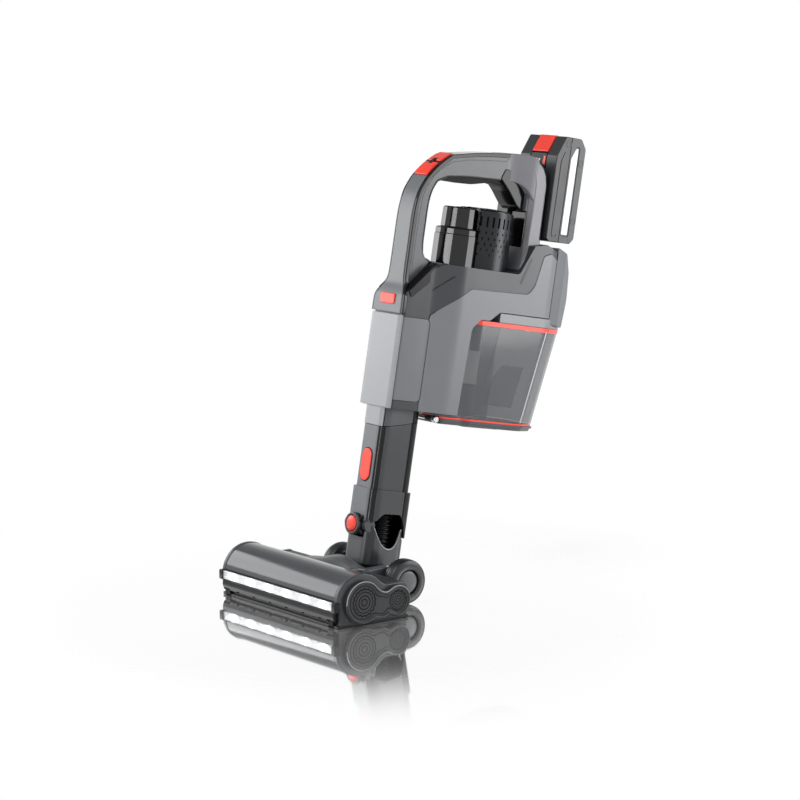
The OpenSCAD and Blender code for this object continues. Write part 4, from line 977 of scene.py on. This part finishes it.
holes = []
for k in range(30):
    a = 2 * math.pi * (k + 0.5) / 30
    holes.append(hole(a, 449.5, 1.25, 6.4))
    for row, s in enumerate((436, 428.5, 421.5, 415, 408.5)):
        if row < 4 or k % 2 == 0:
            holes.append(hole(a + (math.pi / 30 if row % 2 else 0), s, 0.8, 1.5 if row < 3 else 1.0))
vent = raw("vent_drum", *prism_data(circle(38, 96, 0, VENT_P), 360, 462.5, wand_up))
carve(vent, raw("vent_cuts", *merged(holes)))
carve(vent, cap_room())
finish_piece(vent, "body", 0.0, stands=("motor_housing",), angle=35, mat=VENT)
# painted shade: this dark core shows only at the floor of every vent hole
carve(lathe("vent_hole_shade_core", [(1, 380), (34.6, 380), (34.6, 461), (1, 461)], (0, VENT_P), LINE_AND_SHADE, "body", seg=64),
    cap_room())
carve(lathe("vent_top", [(1, 462), (36.8, 462.2), (36.4, 463.8), (34.8, 464.6), (30.4, 464.8), (30, 464),
    (22.6, 464), (22.2, 465.8), (20.4, 466.4), (1, 466.4)], (0, VENT_P), BLACK, "body", seg=96), cap_room())
ribs = [spoke_box(2 * math.pi * (k + 0.5) / 12, [(r, w, s) for s in (463.6, 465.4) for r, w in (
    (23.6, -2.2), (29.4, -2.6), (29.4, 2.6), (23.6, 2.2))]) for k in range(12)]
build("vent_top_ribs", *merged(ribs), SATIN_BLACK, "body", 0.5, 2)

# ================= dust bin
BIN_LOW, BIN_HIGH = 203, 326


def bin_ring(s, g=0.0):
    """The bin's outline at s, g mm inwards; it widens and lengthens towards the top."""
    t = (s - BIN_LOW) / (BIN_HIGH - BIN_LOW)
    corner, rear = 170 + 24 * t - g * 0.5, 207 + 25.5 * t - g
    h = 44.8 - g
    half = [(h - 4.4, 44 + g, 4), (h - 4.2, 76, 8), (h, 86, 8), (h, corner - 6, 8), (h - 1.2, corner + 4, 4),
            (h - 20 - 2 * t, rear, 9)]
    return fillet(half + [(-x, p, q) for x, p, q in reversed(half)], 5)


def bin_wall(name, low, high, steps, mat, stands=(), grow=0.0, bevel=0.0):
    """The bin's wall from low to high: an open ring, grow mm out of the outline."""
    stops = [low + (high - low) * k / steps for k in range(steps + 1)]
    n, m = len(bin_ring(low)), len(stops)
    verts = [wand(x, p, s) for g in (-grow, 1.8) for s in stops for x, p in bin_ring(s, g)]
    faces = skin(m, n) + skin(m, n, m * n)
    for k in (0, m - 1):
        faces += [[k * n + i, k * n + (i + 1) % n, (m + k) * n + (i + 1) % n, (m + k) * n + i]
            for i in range(n)]
    build(name, verts, faces, mat, "bin", bevel, 2, stands=stands, angle=24)


bin_wall("bin_shell", 204.4, 323.0, 10, SMOKE, ("bin_cup",))
ring_side = [(114.6, 327.6), (229.6, 327.6), (229.6, 339.4), (114.6, 339.4)]
rim = raw("bin_rim", *prism_data(ring_side, -60, 60, wand))
carve(rim, raw("rim_plan", *prism_data([(x * 0.985, p) for x, p in bin_ring(330)], 320, 345, wand_up)),
    "INTERSECT")
finish_piece(rim, "bin", 0.5, 2, mat=BIN_RIM)
bin_wall("bin_ring", 321.8, 327.4, 1, RED, ("bin_seal",), 0.25, 0.4)
bin_wall("bin_foot_seal", 201.4, 203.6, 1, RED, (), 0.0, 0.4)


def bin_highlight_strip(side, sx):
    """A painted highlight: the bright edge of the clear wall."""
    verts = []
    for k in range(13):
        s = 205 + 118 * k / 12
        t = (s - BIN_LOW) / (BIN_HIGH - BIN_LOW)
        verts += [wand(sx * x, p + 24 * t, s) for x, p in ((44.8, 169), (44.1, 171.6), (43.2, 170))]
    build(f"bin_highlight_strip_{side}", verts, skin(13, 3), PALE_SMOKE_AND_HIGHLIGHT, "bin")


both_sides(bin_highlight_strip)
lathe("cyclone_tube", [(9, 206), (23.2, 206), (24, 207), (24, 244.8), (24.6, 245.4), (24.6, 246.4),
    (23.4, 246.8), (23.4, 288.4), (24.6, 288.8), (24.6, 290), (24, 290.6), (24, 320.6), (23.2, 321.4),
    (9, 321.4)], (0, 96), CYCLONE, "bin", seg=72, stands=("cyclone",))
# the filter mesh band carries a faint painted glow
lathe("cyclone_mesh", [(22, 246.8), (23.9, 246.8), (23.9, 288.4), (22, 288.4)], (0, 96), MESH, "bin", seg=72)
loft("bin_fin", [(222, [(16, 128), (17.4, 128), (26, 168), (24.6, 168.6)]), (262,
    [(18, 140), (19.4, 140), (27, 176), (25.6, 176.6)]), (274, [(19, 150), (20.4, 150), (27.4, 178),
    (26, 178.6)])], wand, PALE_SMOKE_AND_HIGHLIGHT, "bin", 0.4)
prism("bin_divider", [(120, 206), (121.6, 206), (121.6, 322), (120, 322)], -30, 36, wand, SMOKE, "bin", 0.3)


# lid with its hinge
def lid_ring(g):
    return [(x * (1 - g * 0.012), 47 + (p - 44) * (1 - g * 0.008)) for x, p in bin_ring(BIN_LOW)]


loft("lid_plate", [(s, lid_ring(g)) for s, g in ((201.2, 0.2), (198.4, 0.4), (197.8, 2.4), (194.6, 3.4),
    (194.2, 8))], wand, MID, "lid", 0.5, 2, ("bin_lid",))
prism("lid_step", [(96, 194.4), (96, 192.4), (150, 192.6), (168, 194.4)], -24, 24, wand, DARK, "lid", 0.6)
HINGE = wand_yz(41, 199)
lathe_pair("hinge_knuckle", [(1.9, 18), (3.6, 18), (3.7, 18.6), (3.7, 29.6), (3.5, 30), (1.9, 30)], HINGE,
    CASE, "lid", 40)
lathe_pair("hinge_barrel", [(2.05, 30.6), (3.8, 30.6), (4.1, 31.2), (4.1, 36), (3.4, 37), (2.05, 37)], HINGE,
    STEEL, "bin", 40)


# ================= battery
BATTERY_X = 35.5
front_half = fillet([(179, 441, 3), (183, 437.4, 3), (199.8, 437.4), (199.8, 571), (190, 571, 3),
    (178.2, 545.4, 3)], 5)
rear_half = fillet([(200.2, 437.4), (219, 437.4, 5), (224.8, 444, 5), (224.8, 559, 6), (216, 571, 6),
    (200.2, 571)], 5)
case = raw("battery_front_case", *prism_data(front_half, -BATTERY_X, BATTERY_X, wand))
pocket = [(175, 528), (175, 580), (195, 575), (186, 552), (181.5, 528)]
carve(case, raw("pocket", *prism_data(pocket, -15.8, 15.8, wand)))
finish_piece(case, "battery", 2.4, 3, stands=("battery_case",), angle=28, mat=CASE)
cover = raw("battery_rear_case", *prism_data(rear_half, -BATTERY_X, BATTERY_X, wand))
recess = fillet([(201.8, 446, 2), (214.8, 446, 2), (214.8, 560, 2), (209.5, 560, 2), (201.8, 545, 2)], 4)
for sx in (-1, 1):
    carve(cover, raw("recess", *prism_data(recess, sx * 34.3, sx * 40, wand)))
finish_piece(cover, "battery", 1.5, 3, stands=("battery_cover",), angle=28, mat=CASE_GREY)
label = fillet([(203.2, 448, 1.5), (213.4, 448, 1.5), (213.4, 558, 1.5), (209.8, 558, 1.5),
    (203.2, 545, 1.5)], 4)
prism_pair("battery_label", label, 34.2, 34.5, wand, LABEL, "battery", 0.05)
ridge = fillet([(186, 446), (190, 444, 2), (193, 446), (193, 556, 3), (188, 545, 3), (186, 540)], 4)
prism_pair("battery_ridge", ridge, 35.3, 36.2, wand, CASE, "battery", 0.7)


def screws(side, sx):
    """Four screws on a side: a raised ring round a dark, sunk head."""
    n = 28
    for i, (s, p) in enumerate(((562, 195.5), (540, 220), (466, 220), (446, 191))):
        rings = ((4.4, 35.4), (4.2, 35.9), (2.9, 35.9), (2.6, 35.45), (0.4, 35.4))
        verts = [wand(sx * x, u, v) for r, x in rings for u, v in circle(r, n, p, s)]
        build(f"screw_{side}_{i}", verts, skin(5, n) + ends(5, n)[1:], CASE_GREY, "battery",
            mats=[CASE_GREY, BLACK], index=[0 if k < 2 * n else 1 for k in range(4 * n + 1)])


both_sides(screws)
latch = fillet([(178.6, 549, 1.5), (189.6, 571.6, 2), (195.8, 571.8, 1.5), (186, 549, 1)], 4)
prism("latch_tab", latch, -15, 15, wand, RED, "battery_release", 0.9, 3, ("battery_latch",))
prism("latch_grip", [(184.2, 560.4), (184.7, 562.4), (187, 562.0), (186.4, 559.8)], -7, 7, wand, RED_DARK,
    "battery_release", 0.3)
prism("charge_strip", [(178.0, 528), (178.6, 547.6), (184, 547.6), (184, 528)], -15, 15, wand, SATIN_BLACK,
    "battery", 0.4)
for i in range(3):
    prism(f"charge_mark_{i}", [(177.8, 537.6), (178.1, 540.6), (179.5, 540.6), (179.5, 537.6)], -9 + 5 * i,
        -6.4 + 5 * i, wand, LABEL, "battery", 0.1)
prism("charge_bar", [(177.6, 533), (178.2, 544), (180, 544), (180, 533)], 9.6, 14, wand, RED, "battery", 0.3)

# ================= carried-over CAD nodes
for mat, bevel, names in ((SATIN_BLACK, 0.5, "sole_plate"), (CAP, 0, "head_housing"),
        (BOARD, 0, "led_board control_board"), (STEEL, 0,
        "head_motor brush_bearings motor_pulley wheel_axle knee_pin fan_motor lid_pin"),
        (RUBBER, 0, "drive_belt"), (RUBBER, 0.5, "front_rollers"), (CASE, 0, "brush_core"),
        (BRISTLE, 0, "brush_bristles"), (DARK, 0.6, "neck_yoke"), (CHROME, 0, "impeller"),
        (PAPER, 0, "filter_element"), (CELL, 0, "battery_cells")):
    for name in names.split():
        dress(name, mat, bevel)


# ================= floor, light and world
AMBIENT = 0.55


def shader(name):
    m = bpy.data.materials.new(name)
    m.use_nodes = True
    m.node_tree.nodes.clear()
    return m, m.node_tree


def node(nt, kind, links=(), **sockets):
    """A shader node with its sockets set by number (_0 = ...) and linked from (output, socket) pairs."""
    n = nt.nodes.new(kind)
    for key, value in sockets.items():
        if key.startswith("_"):
            n.inputs[int(key[1:])].default_value = value
        else:
            setattr(n, key, value)
    for output, socket in links:
        nt.links.new(output, n.inputs[socket])
    return n


def math_node(nt, operation, a, b=0.0):
    n = node(nt, "ShaderNodeMath", operation=operation)
    for k, v in enumerate((a, b)):
        if isinstance(v, (int, float)):
            n.inputs[k].default_value = v
        else:
            nt.links.new(v, n.inputs[k])
    return n.outputs[0]


def ramp(nt, value, low, high, to_low, to_high):
    n = node(nt, "ShaderNodeMapRange", [(value, 0)], _1=low, _2=high, _3=to_low, _4=to_high)
    n.interpolation_type = "SMOOTHSTEP"
    return n.outputs[0]


def seen(nt, rays):
    """1 for the rays that see the background itself, from the camera or through transmission."""
    return math_node(nt, "MAXIMUM", rays.outputs["Is Camera Ray"], rays.outputs["Is Transmission Ray"])


# floor: polished near the object, and white far from it where the camera or a reflection sees it
POLISH_FADE, WHITE_FADE = (0.28, 0.64), (0.34, 0.62)
bpy.ops.mesh.primitive_plane_add(size=24, location=(0, 0, -0.0004))
ground = bpy.context.object
ground.name = "ground"
m, nt = shader("ground")
place = nt.nodes.new("ShaderNodeNewGeometry")
flat = node(nt, "ShaderNodeVectorMath", [(place.outputs["Position"], 0)], operation="SUBTRACT")
flat.inputs[1].default_value = (0, 0.03, 0)
far = node(nt, "ShaderNodeVectorMath", [(flat.outputs[0], 0)], operation="LENGTH").outputs["Value"]
diffuse = node(nt, "ShaderNodeBsdfDiffuse", _0=(0.93, 0.93, 0.93, 1))
gloss = node(nt, "ShaderNodeBsdfGlossy", _0=(1, 1, 1, 1), _1=0.04)
graze = node(nt, "ShaderNodeLayerWeight", _0=0.72)
mirror = math_node(nt, "MULTIPLY", graze.outputs["Facing"], ramp(nt, far, *POLISH_FADE, 1.0, 0.0))
polished = node(nt, "ShaderNodeMixShader", [(mirror, 0), (diffuse.outputs[0], 1), (gloss.outputs[0], 2)])
white = node(nt, "ShaderNodeEmission", _0=(1, 1, 1, 1), _1=1.0)
rays = nt.nodes.new("ShaderNodeLightPath")
visible = math_node(nt, "MAXIMUM", seen(nt, rays), rays.outputs["Is Glossy Ray"])
fade = math_node(nt, "MULTIPLY", visible, ramp(nt, far, *WHITE_FADE, 0.0, 1.0))
surface = node(nt, "ShaderNodeMixShader", [(fade, 0), (polished.outputs[0], 1), (white.outputs[0], 2)])
node(nt, "ShaderNodeOutputMaterial", [(surface.outputs[0], 0)])
ground.data.materials.append(m)

# world: an even soft light, seen as white, and darker overhead where gloss reflects it
world = bpy.data.worlds.new("studio")
scene.world = world
world.use_nodes = True
nt = world.node_tree
nt.nodes.clear()
direction = nt.nodes.new("ShaderNodeTexCoord")
height = node(nt, "ShaderNodeSeparateXYZ", [(direction.outputs["Generated"], 0)]).outputs[2]
shine = ramp(nt, height, 0.18, 0.6, 1.0, 0.35)
rays = nt.nodes.new("ShaderNodeLightPath")
background = seen(nt, rays)
level = node(nt, "ShaderNodeMix", [(rays.outputs["Is Glossy Ray"], 0), (shine, 3)], data_type="FLOAT")
level.inputs[2].default_value = AMBIENT
final = node(nt, "ShaderNodeMix", [(background, 0), (level.outputs[0], 2)], data_type="FLOAT")
final.inputs[3].default_value = 1.0
sky = node(nt, "ShaderNodeBackground", [(final.outputs[0], 1)])
sky.inputs[0].default_value = (1, 1, 1, 1)
node(nt, "ShaderNodeOutputWorld", [(sky.outputs[0], 0)])


def softbox(name, place, aim, size, power):
    d = bpy.data.lights.new(name, "AREA")
    d.shape = "RECTANGLE"
    d.size, d.size_y = size
    d.energy = power
    o = bpy.data.objects.new(name, d)
    scene.collection.objects.link(o)
    o.location = place
    o.visible_camera = False
    o.rotation_mode = "QUATERNION"
    o.rotation_quaternion = (Vector(place) - Vector(aim)).to_track_quat("Z", "Y")


softbox("side_light", (0.70, 0.92, 0.54), (0.0, 0.25, 0.36), (0.5, 0.75), 6.5)
softbox("front_light", (-1.2, -0.55, 0.62), (0, 0, 0.1), (1.1, 0.7), 9)
softbox("top_light", (0.1, -1.1, 1.7), (0, 0.1, 0.3), (1.2, 0.9), 12)
softbox("edge_strip", (0.25, -1.5, 0.45), (0, 0.2, 0.4), (0.12, 1.3), 6)
scene.view_settings.view_transform = "Standard"
